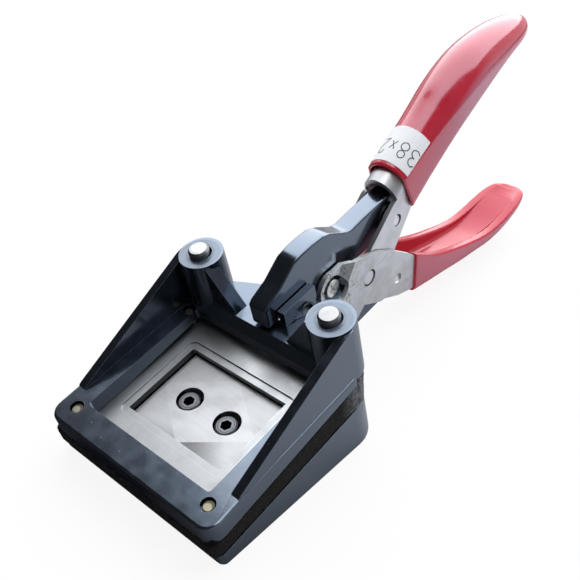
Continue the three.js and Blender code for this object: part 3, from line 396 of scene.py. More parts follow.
def makeFoam():
    m = Finish("foamRubber")
    cells = m.node("ShaderNodeTexVoronoi", {}, {"Vector": m.spread(0.75), "Scale": 1}, "Distance")
    grit = m.noise(0.5, 5, rough=0.75)
    patch = m.noise(6, 3)
    across, along, _ = m.parts()  # the rear corners are grey in patches
    greyCorners = m.window(along, *foamCorner["along"]) * m.window(abs(across), *foamCorner["across"])
    base = m.mix(m.window(grit, 0.35, 0.7), (0.004, 0.0038, 0.004), (0.02, 0.018, 0.019))
    base = m.mix(greyCorners * m.window(m.noise(1.1, 5, rough=0.7), 0.36, 0.62, 0.25, 0.95), base, (0.23, 0.24, 0.27))
    base = m.mix(m.window(cells, 0.1, 0.45, 0.65, 0), base, (0.003, 0.003, 0.003))
    base = m.mix(m.window(m.noise(0.32, 2), 0.64, 0.7) * m.window(patch, 0.35, 0.6, 0.2, 0.8), base,
                 (0.13, 0.12, 0.115))
    return m.close(base, m.window(grit, 0.3, 0.7, 0.82, 1.0), 0.0, m.relief(cells + grit * 0.7, 0.9, 0.35),
                   specular=0.25)


def makePaper():
    m = Finish("labelPaper")
    pulp = m.noise(0.5, 5, (1, 3, 1), 0.7)
    cloud = m.noise(9, 3)
    base = m.mix(m.window(pulp, 0.35, 0.7) * 0.5 + cloud * 0.3, (0.91, 0.93, 0.97), (0.82, 0.845, 0.9))
    worn = m.edges(0.3, 0.05, 0.3)
    base = m.mix(worn * 0.4, base, (0.6, 0.6, 0.62))
    return m.close(base, m.window(pulp, 0.3, 0.7, 0.42, 0.6), 0.0, m.relief(pulp, 0.15, 0.02), specular=0.4)


def makeInk():
    m = Finish("labelInk")
    wear = m.noise(0.35, 4, rough=0.7)
    base = m.mix(m.window(wear, 0.5, 0.75) * 0.5, (0.03, 0.035, 0.05), (0.3, 0.31, 0.34))
    return m.close(base, m.window(wear, 0.3, 0.7, 0.45, 0.65), 0.0, m.relief(wear, 0.1, 0.01))


def makeBlackSteel():
    m = Finish("blackSteel")
    grit = m.noise(0.6, 4, rough=0.65)
    worn = m.edges(0.25, 0.04, 0.25)
    base = m.mix(m.window(grit, 0.35, 0.7), (0.15, 0.16, 0.18), (0.24, 0.25, 0.275))
    base = m.mix(worn * 0.75, base, (0.42, 0.43, 0.47))
    across, along, up = m.parts()
    onPunch = m.window(along, *capHead["rear"])
    paintedSocketShade = m.window(up, *capHead["socket"], 1, 0) * m.window(up, *capHead["foot"]) * onPunch
    head = ((abs(across) - punchTop["wellX"]) ** 2 + (along - punchTop["wellY"]) ** 2) ** 0.5
    # a thin dark ring on each head: painted shade where a groove would be
    paintedGrooveShade = m.window(head, *capHead["grooveIn"]) * m.window(head, *capHead["grooveOut"]) * onPunch
    base = m.mix(paintedGrooveShade * 0.7, base, (0.02, 0.02, 0.024))
    base = m.mix(paintedSocketShade, base, (0.006, 0.006, 0.008))  # the sockets are painted near-black: painted shade in the hex sockets
    return m.close(base, m.window(grit, 0.3, 0.7, 0.3, 0.45), 1.0, m.relief(grit, 0.2, 0.03))


enamel = makeEnamel("blackEnamel")
steels = {
    "satin": makeSteel("satinSteel", (0.76, 0.77, 0.8), 0.36, (0.5, 9, 9), stain=0.3, scratch=0.3),
    "bright": makeSteel("brightSteel", (0.33, 0.335, 0.345), 0.3, (2, 2, 2), stain=0.15, scratch=0.2),
    "punch": makeSteel("groundSteel", (0.64, 0.655, 0.685), 0.5, (16, 0.3, 5), (0, 0, 0.12), stain=0.2, scratch=0.2,
                       diamond=0.35),
    "die": makeSteel("dieSteel", (0.46, 0.48, 0.505), 0.38, (0.35, 12, 6), (0, 0, 0.35), stain=0.3, scratch=0.3,
                     paintedWallShade=0.9),
    "zinc": makeSteel("zincPlate", (0.85, 0.88, 0.86), 0.24, (2, 2, 2), stain=0.6, scratch=0.3,
                      stainTint=(0.35, 0.36, 0.3)),
    "brass": makeSteel("paleBrass", (0.46, 0.44, 0.34), 0.34, (2, 2, 2), stain=0.5, scratch=0.3,
                       stainTint=(0.3, 0.27, 0.16), headEdgeShade=0.85),
}
leverSteel = makeLeverSteel()
vinyl = makeVinyl("redVinyl", 0.82, 0.5, 1.6, 0.95)
triggerVinyl = makeVinyl("triggerVinyl", 0.36, 0.3, 1.5, 0.75)
foamRubber = makeFoam()
paper = makePaper()
ink = makeInk()
blackSteel = makeBlackSteel()
print("finishes made")

# Cast, pressed and ground pieces: the CAD solids with their edges eased
eased = {
    "upper_frame": {"edge": 0.75, "segments": 3, "finish": enamel},
    "lower_casting": {"edge": 0.3, "segments": 3, "finish": enamel},
    "press_arm": {"edge": 0.35, "segments": 3, "finish": enamel},
    "die_plate": {"edge": 0.14, "finish": steels["die"]},
    "handle_channel": {"edge": 0.2, "finish": steels["satin"]},
    "trigger_lever": {"edge": 0.2, "finish": leverSteel},
}


def easeCopies(looks):
    for nodeName, look in looks.items():
        piece = softEdges(cleanCopy(nodeName, nodeName + "_look"), look["edge"], look.get("segments", 2))
        finishPiece(piece, nodeBody[nodeName], look["finish"], [nodeName], 40, True)


easeCopies(eased)
print("castings and plates eased")

# Punch: its top is ground to a flat diamond with four corners that fall away
punch = {"corner": 0.08, "edge": 0.1, "beyond": 6, "above": 2}


def makePunch():
    obj = cleanCopy("punch_block", "punch_block_look")
    back = plateToRow.inverted()
    spots = [back @ vertex.co / mm for vertex in obj.data.vertices]
    x, top = max(s.x for s in spots), max(s.z for s in spots)
    front, rear = min(s.y for s in spots), max(s.y for s in spots)
    tools = []
    for sx in (-1, 1):
        for sy, edge in ((-1, front), (1, rear)):
            tip, wing = (0, edge, top), (sx * x, (front + rear) / 2, top)
            along = Vector((wing[0] - tip[0], wing[1] - tip[1], 0)).normalized()
            out = Vector((sx * abs(along.y), sy * abs(along.x), 0))
            depth = (Vector((sx * x, edge, top)) - Vector(tip)).dot(out)
            slope = punch["corner"] / depth
            a, b = Vector(tip) - along * punch["beyond"], Vector(wing) + along * punch["beyond"]
            wide = depth + punch["beyond"]
            fall = Vector((0, 0, wide * slope))
            ring = [a, b, b + out * wide - fall, a + out * wide - fall]
            lid = [p + Vector((0, 0, punch["above"])) for p in (a, b, b + out * wide, a + out * wide)]
            sides = [(0, 3, 2, 1), (4, 5, 6, 7), (0, 1, 5, 4), (1, 2, 6, 5), (2, 3, 7, 6), (3, 0, 4, 7)]
            tool = outward(objectFromPlate("cutter", [tuple(p) for p in ring + lid], sides))
            tools.append(tool)
            cutter = obj.modifiers.new("corner", "BOOLEAN")
            cutter.operation = "DIFFERENCE"
            cutter.solver = "EXACT"
            cutter.object = tool
    bakeModifiers(obj)
    for tool in tools:
        bpy.data.objects.remove(tool)
    softEdges(obj, punch["edge"], 1, 20)
    finishPiece(obj, "base", steels["punch"], ["punch_block"], 12)


makePunch()
print("punch ground")


# Grips: smooth dipped vinyl over the handles
def catmull(values, t):
    spans = len(values) - 1
    span = min(int(t * spans), spans - 1)
    u = t * spans - span
    p = [values[max(0, min(spans, span + k))] for k in (-1, 0, 1, 2)]
    if isinstance(p[0], (list, tuple)):
        return tuple(catmullOne([q[k] for q in p], u) for k in range(len(p[0])))
    return catmullOne(p, u)


def catmullOne(p, u):
    return 0.5 * (2 * p[1] + (p[2] - p[0]) * u + (2 * p[0] - 5 * p[1] + 4 * p[2] - p[3]) * u * u
                  + (3 * p[1] - p[0] - 3 * p[2] + p[3]) * u ** 3)


def smooth(t):  # 0 to 1, with a soft start and end
    t = max(0.0, min(1.0, t))
    return t * t * (3 - 2 * t)


def skin(name, rings):  # a closed solid over its rings
    count = len(rings[0])
    points = [p for ring in rings for p in ring]
    faces = []
    for i in range(len(rings) - 1):
        for k in range(count):
            n = (k + 1) % count
            faces.append((i * count + k, i * count + n, (i + 1) * count + n, (i + 1) * count + k))
    last = (len(rings) - 1) * count
    faces += [tuple(range(count)), tuple(last + k for k in range(count))]
    return outward(objectFromPlate(name, points, faces))


def middleOf(ring):
    return [sum(p[k] for p in ring) / len(ring) for k in range(3)]


def closeTip(rings, shares, bulge):  # smaller and smaller rings, each a little further along
    tip = rings[-1]
    x, y, z = middleOf(tip)
    for k, share in enumerate(shares):
        rings.append([(x + (p[0] - x) * share, y + (p[1] - y) * share + bulge * (k + 1), z + (p[2] - z) * share)
                      for p in tip])


upperGrip = {
    "back": [(89.4, 20.8), (97, 23.7), (105, 26.6), (113, 30), (121, 33.7), (129, 36.7),
             (136.8, 38.4), (145.4, 38.7), (154.1, 37.9), (162.7, 36.2), (169.6, 34), (173.3, 31.8)],
    "belly": [(93.1, 4), (100, 7.9), (107, 11.7), (114, 15.3), (121, 18.6), (129, 21.4),
              (136.8, 23.9), (145.4, 26.2), (154.1, 27.6), (162.7, 28.1), (169.3, 28), (173.4, 28.8)],
    "half": [8.3, 8.5, 8.8, 9.1, 9.4, 9.4, 9.3, 9, 8.3, 7.1, 5, 2.2],
    "wall": 1.1, "lip": 0.005, "lipSteps": 8, "inside": 0.86, "corner": 2.2, "ridge": 62, "ridgeEnd": 88,
    "fadeFrom": 0.18, "fadeOver": 0.4, "archShare": 0.72, "stations": 66, "arch": 24, "turns": 5,
    "tip": (0.86, 0.6, 0.28), "bulge": 0.12,
}


def upperRing(share, inward):
    g = upperGrip
    first, second = catmull(g["back"], share), catmull(g["belly"], share)
    half = catmull(g["half"], share) - inward
    along = Vector((first[0] - second[0], first[1] - second[1]))
    height = along.length
    along.normalize()
    top, bottom = height - inward, inward
    arch = min(half, (top - bottom) * g["archShare"])
    corner = max(0.05, min(g["corner"] - inward * 0.5, (top - bottom - arch) * g["archShare"]))
    fade = smooth((share - g["fadeFrom"]) / g["fadeOver"])  # the ridges die out along the grip
    ridge = math.radians(g["ridge"] + (g["ridgeEnd"] - g["ridge"]) * fade)
    flat = []
    for i in range(g["arch"] + 1):
        a = math.pi / 2 - ridge + 2 * ridge * i / g["arch"]
        flat.append((half * math.cos(a), top - arch + arch * math.sin(a)))
    edge = flat[-1]
    for side in (-1, 1):
        wall = [(side * (-edge[0] + (half + edge[0]) * t), edge[1] + (bottom + corner - edge[1]) * t)
                for t in (0.05, 0.15, 0.5, 0.9)]
        bends = [math.pi / 2 * i / g["turns"] for i in range(g["turns"] + 1)]
        turn = [(side * (half - corner + corner * math.cos(a)), bottom + corner - corner * math.sin(a))
                for a in bends]
        flat += wall + turn if side < 0 else list(reversed(wall + turn))
    return [(x, second[0] + along.x * n, second[1] + along.y * n) for x, n in flat]


def makeUpperGrip():
    g = upperGrip
    count = g["stations"]
    rings = [upperRing(i / count, g["wall"]) for i in range(int(count * g["inside"]), 0, -1)]
    for k in range(g["lipSteps"] + 1):  # the lip is rolled over from the inner to the outer wall
        a = math.pi * k / g["lipSteps"]
        rings.append(upperRing(g["lip"] * (1 - math.sin(a)), g["wall"] * (0.5 + 0.5 * math.cos(a))))
    rings += [upperRing(i / count, 0) for i in range(1, count + 1)]
    closeTip(rings, g["tip"], g["bulge"])
    obj = skin("upper_grip_look", rings)
    finishPiece(obj, "base", vinyl, ["upper_grip"], 60)


triggerGrip = {
    "rim": [(91.6, -15), (97, -19.4), (102, -23.1), (110, -27.9), (120, -32.9), (130, -37.3),
            (138.5, -40.2), (147, -41.5), (156, -41.8), (163.5, -41.9), (168.6, -42.2), (171.4, -43)],
    "under": [(89, -30.9), (95, -32.7), (101, -34.6), (109, -37.3), (118.5, -40.8), (128, -43.7),
              (137.5, -46.1), (147, -47), (156, -46.3), (163, -45.5), (168.1, -44.8), (171, -44.1)],
    "round": [2.2, 2.2, 2.4, 2.8, 3.4, 4, 4.6, 5, 5, 5, 5, 5],
    "half": [9.1, 9.2, 9.3, 9.3, 9.3, 9.3, 9.3, 9.3, 9.1, 8.3, 6.6, 3],
    "wall": 3.6, "floor": 3.4, "rimRound": 1.0, "troughEnd": 0.82, "troughFade": 0.3, "slope": 2.2,
    "stations": 64, "turns": 5, "tip": (0.85, 0.6, 0.28), "bulge": 0.1,
    "mouth": {"narrow": 0.965, "shrink": 0.02, "nextNarrow": 0.99, "step": 0.35, "nextStep": 0.4},
}


def triggerRing(share):
    g = triggerGrip
    rim, under = catmull(g["rim"], share), catmull(g["under"], share)
    half, underRound = catmull(g["half"], share), catmull(g["round"], share)
    along = Vector((rim[0] - under[0], rim[1] - under[1]))
    height = along.length
    along.normalize()
    low = min(underRound, height * 0.6, half * 0.9)
    wall = min(g["wall"], half * 0.42)
    high = min(g["rimRound"], (height - low) * 0.45, wall * 0.45)
    fade = smooth((g["troughEnd"] - share) / g["troughFade"])
    deep = max(0.0, height - g["floor"] - 0.2) * fade + 0.001
    inner = half - wall
    slope = min(deep * 0.9, g["slope"])
    flat = []

    def corner(cx, cy, radius, start, sweep):
        for i in range(g["turns"] + 1):
            a = start + sweep * i / g["turns"]
            flat.append((cx + radius * math.cos(a), cy + radius * math.sin(a)))

    quarter = math.pi / 2
    corner(half - low, low, low, -quarter, quarter)
    corner(half - high, height - high, high, 0, quarter)
    lipIn = min(high, deep * 0.5)
    corner(inner + lipIn, height - lipIn, lipIn, quarter, quarter)
    corner(inner - slope, height - deep + slope, slope, 0, -quarter)
    corner(slope - inner, height - deep + slope, slope, -quarter, -quarter)
    corner(-inner - lipIn, height - lipIn, lipIn, 0, quarter)
    corner(high - half, height - high, high, quarter, quarter)
    corner(low - half, low, low, 2 * quarter, quarter)
    return [(x, under[0] + along.x * n, under[1] + along.y * n) for x, n in flat]


def makeTriggerGrip():
    g, mouth = triggerGrip, triggerGrip["mouth"]
    first = triggerRing(0.0)
    _, y, z = middleOf(first)
    start, after = g["rim"][:2]
    ahead = Vector((0, after[0] - start[0], after[1] - start[1])).normalized() * mouth["step"]
    rings = [[(p[0] * mouth["narrow"], p[1] + (y - p[1]) * mouth["shrink"], p[2] + (z - p[2]) * mouth["shrink"])
              for p in first],
             [(p[0] * mouth["nextNarrow"], p[1] + ahead.y * mouth["nextStep"], p[2] + ahead.z * mouth["nextStep"])
              for p in first]]
    rings += [triggerRing(i / g["stations"]) for i in range(1, g["stations"] + 1)]
    closeTip(rings, g["tip"], g["bulge"])
    obj = skin("trigger_grip_look", rings)
    finishPiece(obj, "trigger", triggerVinyl, ["trigger_grip"], 60)


makeUpperGrip()
makeTriggerGrip()
print("grips dipped")

# Foam pad: remeshed, swollen at its edges and open-pored
# Its sheet leaves the die room to come down
foam = {"voxel": 0.6, "smooth": 0.4, "cells": ((2.2, 0.22), (0.8, 0.22)), "cellMiddle": 0.42, "room": 0.35,
        "top": -5.02, "slope": 0.055, "give": 5.3}
pocket = {"halfX": 30.95, "front": -28.25, "rear": 24.05, "wall": -8.9}


def makeFoamPad():
    obj = cleanCopy("foam_pad", "foam_pad_look")
    remesh = obj.modifiers.new("even", "REMESH")
    remesh.mode = "VOXEL"
    remesh.voxel_size = foam["voxel"] * mm
    soft = obj.modifiers.new("soft", "SMOOTH")
    soft.factor = foam["smooth"]
    soft.iterations = 1
    for size, strength in foam["cells"]:
        texture = bpy.data.textures.new("foamCells", "CLOUDS")
        texture.noise_scale = size * mm
        texture.noise_depth = 2
        swell = obj.modifiers.new("cells", "DISPLACE")
        swell.texture = texture
        swell.texture_coords = "LOCAL"
        swell.strength = strength * mm
        swell.mid_level = foam["cellMiddle"]
    bakeModifiers(obj)
    toPlate = plateToRow.inverted() @ obj.matrix_world
    fromPlate = toPlate.inverted()
    for vertex in obj.data.vertices:
        x, y, z = (toPlate @ vertex.co) / mm
        if abs(x) < pocket["halfX"] and pocket["front"] < y < pocket["rear"] and z < pocket["wall"]:
            z = layout["bed"] + (z - layout["bed"]) * foam["room"]
            vertex.co = fromPlate @ Vector((x * mm, y * mm, z * mm))
    finishPiece(obj, None, foamRubber, ["foam_pad"], 70)
    level = Vector((0, -foam["slope"], 1)).normalized()
    top = Vector((0, 0, foam["top"]))
    tuple(place(*(top - level * foam["give"])))
    tuple(place(*top))
    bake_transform(obj)


makeFoamPad()
print("foam pad made")


# Parts that repeat are grown by geometry nodes and turned into plain meshes
class Grower(NodeTree):
    def __init__(self, name, inputs):
        group = bpy.data.node_groups.new(name, "GeometryNodeTree")
        super().__init__(group)
        self.group = group
        group.interface.new_socket("Geometry", in_out="INPUT", socket_type="NodeSocketGeometry")
        group.interface.new_socket("Geometry", in_out="OUTPUT", socket_type="NodeSocketGeometry")
        self.ids = {}
        for key, kind in inputs.items():
            entry = group.interface.new_socket(key, in_out="INPUT", socket_type="NodeSocket" + kind)
            self.ids[key] = entry.identifier
        self.entry = group.nodes.new("NodeGroupInput")

    def given(self, key):
        return Field(self, self.entry.outputs[key])

    def join(self, *parts):
        made = self.tree.nodes.new("GeometryNodeJoinGeometry")
        for part in parts:
            self.tree.links.new(part.socket, made.inputs[0])
        return Field(self, made.outputs[0])

    def shift(self, part, offset, turn=(0, 0, 0)):
        return self.node("GeometryNodeTransform", {}, {"Geometry": part, "Translation": offset, "Rotation": turn})

    def upward(self, height):
        return self.node("ShaderNodeCombineXYZ", {}, {"Z": height})

    def close(self, shape, turn=(0, 0, 0)):  # one copy of shape at each input point
        placed = self.node("GeometryNodeInstanceOnPoints", {}, {
            "Points": self.given("Geometry"), "Instance": shape, "Rotation": turn})
        real = self.node("GeometryNodeRealizeInstances", {}, {"Geometry": placed})
        done = self.node("GeometryNodeSetMaterial", {}, {"Geometry": real, "Material": self.given("Finish")})
        out = self.tree.nodes.new("NodeGroupOutput")
        self.tree.links.new(done.socket, out.inputs[0])
        return self


def grow(grower, name, spots, values, body, nodes, angle=32):
    mesh = bpy.data.meshes.new(name)
    mesh.from_pydata([place(*p) for p in spots], [], [])
    obj = objectFrom(name, mesh)
    modifier = obj.modifiers.new("grown", "NODES")
    modifier.node_group = grower.group
    for key, value in values.items():
        modifier[grower.ids[key]] = value
    bakeModifiers(obj)
    outward(obj)
    return finishPiece(obj, body, None, nodes, angle)


def turnedPin():  # a straight pin with eased, slightly domed ends, along its own Z
    g = Grower("turnedPin", {"Radius": "Float", "Length": "Float", "Ease": "Float", "Turn": "Vector",
                             "Finish": "Material"})
    radius, length, ease = g.given("Radius"), g.given("Length"), g.given("Ease")
    sides = 40
    parts = [g.node("GeometryNodeMeshCylinder", {"fill_type": "NONE"}, {
        "Vertices": sides, "Radius": radius, "Depth": length - 2 * ease})]
    shoulder = radius - ease * 0.7
    steps = [("NONE", radius, shoulder, 0, 0.93), ("NONE", shoulder, radius * 0.6, 0.93, 0.05),
             ("NGON", radius * 0.6, radius * 0.1, 0.98, 0.02)]  # fill, two radii, start and depth in eases
    for side in (1, -1):
        base = (length * 0.5 - ease) * side
        flip = (0, 0, 0) if side > 0 else (math.pi, 0, 0)
        for fill, foot, head, start, deep in steps:
            cone = g.node("GeometryNodeMeshCone", {"fill_type": fill}, {
                "Vertices": sides, "Radius Bottom": foot, "Radius Top": head, "Depth": ease * deep})
            parts.append(g.shift(cone, g.upward(base + ease * start * side), flip))
    whole = g.node("GeometryNodeMergeByDistance", {}, {"Geometry": g.join(*parts),
                                                                 "Distance": weld["copy"]})
    return g.close(whole, g.given("Turn"))


pinTree = turnedPin()
tiltTurn = Vector((math.radians(stand["tilt"]), 0, 0))
crossTurn = Vector((0, math.pi / 2, 0))
pins = {  # the cross pins are as long as their nodes are wide
    "guide_pins": {"spots": [(side * layout["pinX"], layout["pinY"], -0.15) for side in (-1, 1)], "radius": 3.25,
                   "length": 39.7, "ease": 0.75, "turn": tiltTurn, "finish": steels["bright"], "body": "base",
                   "nodes": ["guide_pin_left", "guide_pin_right"]},
    "arm_pivot": {"spots": [(0, 85.2, 3.5)], "radius": 2, "ease": 0.3, "turn": crossTurn,
                  "finish": steels["satin"], "body": "base", "nodes": ["arm_pivot_pin"]},
    "trigger_cross": {"spots": [(0, 80.8, -18.1)], "radius": 1.5, "ease": 0.3, "turn": crossTurn,
                      "finish": steels["satin"], "body": "trigger", "nodes": ["trigger_cross_pin"]},
    "tail_rivets": {"spots": [(0, 56.2, -16.8), (0, 66.3, -14.6)], "radius": 1.7, "ease": 0.35,
                    "turn": crossTurn, "finish": steels["satin"], "body": "base",
                    "nodes": ["tail_rivet_front", "tail_rivet_rear"]},
}
for name, look in pins.items():
    low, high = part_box(look["nodes"][0])
    length = look["length"] * mm if "length" in look else high.x - low.x
    sizes = {"Radius": look["radius"] * mm, "Length": length, "Ease": look["ease"] * mm}
    grow(pinTree, name, look["spots"], {**sizes, "Turn": look["turn"], "Finish": look["finish"]}, look["body"],
         look["nodes"])


def returnSpring():
    g = Grower("returnSpring", {"Turns": "Float", "Radius": "Float", "Wire": "Float", "Height": "Float",
                                "Turn": "Vector", "Finish": "Material"})
    radius = g.given("Radius")
    coil = g.node("GeometryNodeCurveSpiral", {}, {"Resolution": 40, "Rotations": g.given("Turns"),
                  "Start Radius": radius, "End Radius": radius, "Height": g.given("Height")})
    section = g.node("GeometryNodeCurvePrimitiveCircle", {}, {"Resolution": 10, "Radius": g.given("Wire") * 0.5})
    wire = g.node("GeometryNodeCurveToMesh", {}, {"Curve": coil, "Profile Curve": section, "Fill Caps": True})
    return g.close(wire, g.given("Turn"))


springs = {"turns": 6, "radius": 4.25, "wire": 0.9, "top": 5.7}
springHeight = springs["top"] - layout["bed"] - springs["wire"]
springFeet = [(side * layout["pinX"], layout["pinY"], layout["bed"] + springs["wire"] / 2) for side in (-1, 1)]
springPiece = grow(returnSpring(), "return_springs", springFeet, {
    "Turns": float(springs["turns"]), "Radius": springs["radius"] * mm, "Wire": springs["wire"] * mm,
    "Height": springHeight * mm, "Turn": tiltTurn, "Finish": steels["satin"]}, "base",
    ["return_spring_left", "return_spring_right"], 60)
tuple(place(0, layout["pinY"], layout["bed"]))
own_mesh(springPiece)


def capScrew():  # a socket head with a knurled rim, standing on a plain shank
    g = Grower("capScrew", {"Head": "Float", "Height": "Float", "Socket": "Float", "Deep": "Float", "Shank": "Float",
                            "Length": "Float", "Knurls": "Int", "Turn": "Vector", "Finish": "Material"})
    head, height, length = g.given("Head"), g.given("Height"), g.given("Length")
    ease, root, crown = head * 0.1, head * 0.965, head * 0.86
    star = g.node("GeometryNodeCurveStar", {}, {"Points": g.given("Knurls"), "Inner Radius": root,
                                                "Outer Radius": head})
    disc = g.node("GeometryNodeFillCurve", {"mode": "NGONS"}, {"Curve": star})
    side = g.node("GeometryNodeExtrudeMesh", {}, {"Mesh": disc, "Offset": g.upward(1.0),
                                                  "Offset Scale": height - ease, "Individual": False})
    floor = g.node("GeometryNodeFlipFaces", {}, {"Mesh": disc})
    rim = g.node("GeometryNodeMeshCone", {}, {"Vertices": 48, "Radius Bottom": root, "Radius Top": crown,
                                              "Depth": ease})
    shank = g.node("GeometryNodeMeshCylinder", {}, {"Vertices": 24, "Radius": g.given("Shank"), "Depth": length})
    key = g.node("GeometryNodeMeshCylinder", {}, {"Vertices": 6, "Radius": g.given("Socket"),
                                                  "Depth": g.given("Deep") * 2})
    bite = 0.1 * mm  # the shank reaches into the head
    pieces = g.join(g.join(side, floor), g.shift(rim, g.upward(height - ease * 1.02)),
                    g.shift(shank, g.upward(length * -0.5 + bite)))
    solid = g.node("GeometryNodeMeshBoolean", {"operation": "UNION"}, {"Mesh 2": pieces})
    cutter = g.shift(key, g.upward(height))
    whole = g.node("GeometryNodeMeshBoolean", {"operation": "DIFFERENCE"}, {"Mesh 1": solid, "Mesh 2": cutter})
    return g.close(whole, g.given("Turn"))


screw = {"Head": 3.4, "Height": 4, "Socket": 1.85, "Deep": 2.4, "Shank": 2, "Length": 6.2}  # millimetres
screwSeat = -13
grow(capScrew(), "punch_screws", [(side * punchTop["wellX"], punchTop["wellY"], screwSeat) for side in (-1, 1)], {
    **{key: size * mm for key, size in screw.items()}, "Knurls": 40, "Turn": tiltTurn, "Finish": blackSteel},
    "base", ["punch_screw_left", "punch_screw_right"], 25)
print("pins, springs and screws grown")

# Small turned parts that keep their CAD form, with their edges eased
small = {
    "frame_pin": {"edge": 0.3, "finish": blackSteel}, "trigger_pivot_pin": {"edge": 0.25, "finish": steels["satin"]},
    "drive_screw": {"edge": 0.18, "finish": steels["zinc"]}, "drive_nut": {"edge": 0.2, "finish": steels["zinc"]},
    "arm_spacer_left": {"edge": 0.15, "finish": steels["satin"]},
    "arm_spacer_right": {"edge": 0.15, "finish": steels["satin"]},
}
for corner in ("front_left", "front_right", "rear_left", "rear_right"):
    small["rim_screw_" + corner] = {"edge": 0.12, "finish": steels["brass"]}
easeCopies(small)
print("small parts eased")

# Label: a thin paper sheet that follows the grip from ridge to ridge, with its numbers in fine strokes
label = {"from": 0.27, "to": 1.88, "low": 0.02, "high": 0.17, "rows": 16, "columns": 32, "margin": 0.15}
numbers = {"lift": 0.185, "stroke": 0.32, "height": 5.4, "advance": 4.2, "start": 8.6, "step": 0.35, "top": 10.4,
           "station": 8.4, "width": 0.86, "crossAdvance": 0.85, "ink": 0.04}  # a station of the grip is 8.4 mm
glyphs = {
    "3": [[(0.05, 0.86), (0.3, 1), (0.62, 0.93), (0.72, 0.76), (0.6, 0.58), (0.34, 0.53)],
          [(0.34, 0.53), (0.66, 0.46), (0.8, 0.27), (0.68, 0.07), (0.34, 0), (0.04, 0.12)]],
    "8": [[(0.4, 0.54), (0.12, 0.66), (0.12, 0.88), (0.4, 1), (0.68, 0.88), (0.68, 0.66), (0.4, 0.54), (0.08, 0.4),
           (0.06, 0.14), (0.4, 0), (0.74, 0.14), (0.72, 0.4), (0.4, 0.54)]],
    "x": [[(0.1, 0.12), (0.6, 0.68)], [(0.1, 0.68), (0.6, 0.12)]],
    "2": [[(0.05, 0.78), (0.2, 0.96), (0.45, 1), (0.7, 0.88), (0.7, 0.66), (0.5, 0.42), (0.2, 0.18), (0.02, 0)],
          [(0.02, 0), (0.76, 0)]],
    "7": [[(0.04, 1), (0.74, 1)], [(0.74, 1), (0.5, 0.55), (0.3, 0)]],
}


def onGrip(station, around, lift):  # station along the grip, and millimetres round it from its crown
    g = upperGrip
    share = station / (len(g["back"]) - 1)
    first, second = catmull(g["back"], share), catmull(g["belly"], share)
    half = catmull(g["half"], share)
    up = Vector((first[0] - second[0], first[1] - second[1]))
    centre = up.length - half
    up.normalize()
    a = math.pi / 2 - around / half
    n = centre + (half + lift) * math.sin(a)
    return ((half + lift) * math.cos(a), second[0] + up.x * n, second[1] + up.y * n)


def makeLabel():
    reach = math.radians(upperGrip["ridge"]) * upperGrip["half"][0] - label["margin"]
    points, faces = [], []
    wide = label["columns"] + 1
    for lift in (label["low"], label["high"]):
        for i in range(label["rows"] + 1):
            station = label["from"] + (label["to"] - label["from"]) * i / label["rows"]
            points += [onGrip(station, reach * (2 * k / label["columns"] - 1), lift) for k in range(wide)]
    layer = (label["rows"] + 1) * wide
    for i in range(label["rows"]):
        for k in range(label["columns"]):
            a = i * wide + k
            b = a + wide
            faces += [(a, a + 1, b + 1, b), tuple(layer + v for v in (a, b, b + 1, a + 1))]
    rim = list(range(wide)) + [i * wide + wide - 1 for i in range(1, label["rows"] + 1)]
    rim += [label["rows"] * wide + k for k in range(wide - 2, -1, -1)]
    rim += [i * wide for i in range(label["rows"] - 1, 0, -1)]
    for a, b in zip(rim, rim[1:] + rim[:1]):
        faces.append((a, b, b + layer, a + layer))
    obj = outward(objectFromPlate("size_label_look", points, faces))
    finishPiece(obj, "base", paper, ["size_label"], 40)


def makeNumbers():
    points, faces = [], []
    pen, long = -numbers["start"], numbers["station"]
    for glyph in "38x27":
        for line in glyphs[glyph]:
            fine = []
            for i in range(len(line) - 1):
                count = max(2, int(math.dist(line[i], line[i + 1]) * numbers["height"] / numbers["step"]))
                fine += [catmull(line, (i + k / count) / (len(line) - 1)) for k in range(count)]
            fine.append(line[-1])
            flat = [(numbers["top"] - y * numbers["height"], -(pen + x * numbers["advance"] * numbers["width"]))
                    for x, y in fine]
            start = len(points)
            for i, (a, b) in enumerate(flat):
                before, after = flat[max(0, i - 1)], flat[min(len(flat) - 1, i + 1)]
                run = Vector((after[0] - before[0], after[1] - before[1])).normalized() * numbers["stroke"] / 2
                points += [onGrip((a - run.y) / long, b + run.x, numbers["lift"]),
                           onGrip((a + run.y) / long, b - run.x, numbers["lift"])]
            for i in range(len(flat) - 1):
                j = start + 2 * i
                faces.append((j, j + 1, j + 3, j + 2))
        pen += numbers["advance"] * (numbers["crossAdvance"] if glyph == "x" else 1.0)
    obj = objectFromPlate("label_numbers", points, faces)
    thick = obj.modifiers.new("ink", "SOLIDIFY")
    thick.thickness = numbers["ink"] * mm
    thick.offset = 0
    bakeModifiers(obj)
    outward(obj)
    finishPiece(obj, "base", ink, [], 60)


makeLabel()
makeNumbers()
print("label numbered")

# Camera, floor and light
view = {"location": (0.136032, -0.11901, 0.179076), "turn": (54.7947, 1.2298, 41.7089), "lens": 50.919,
        "sensor": 36, "nearest": 0.01}
camera = bpy.data.objects.new("camera", bpy.data.cameras.new("camera"))
bpy.context.scene.collection.objects.link(camera)
camera.location = view["location"]
camera.rotation_euler = [math.radians(a) for a in view["turn"]]
camera.data.lens = view["lens"]
camera.data.sensor_width = view["sensor"]
camera.data.clip_start = view["nearest"]
bpy.context.scene.camera = camera

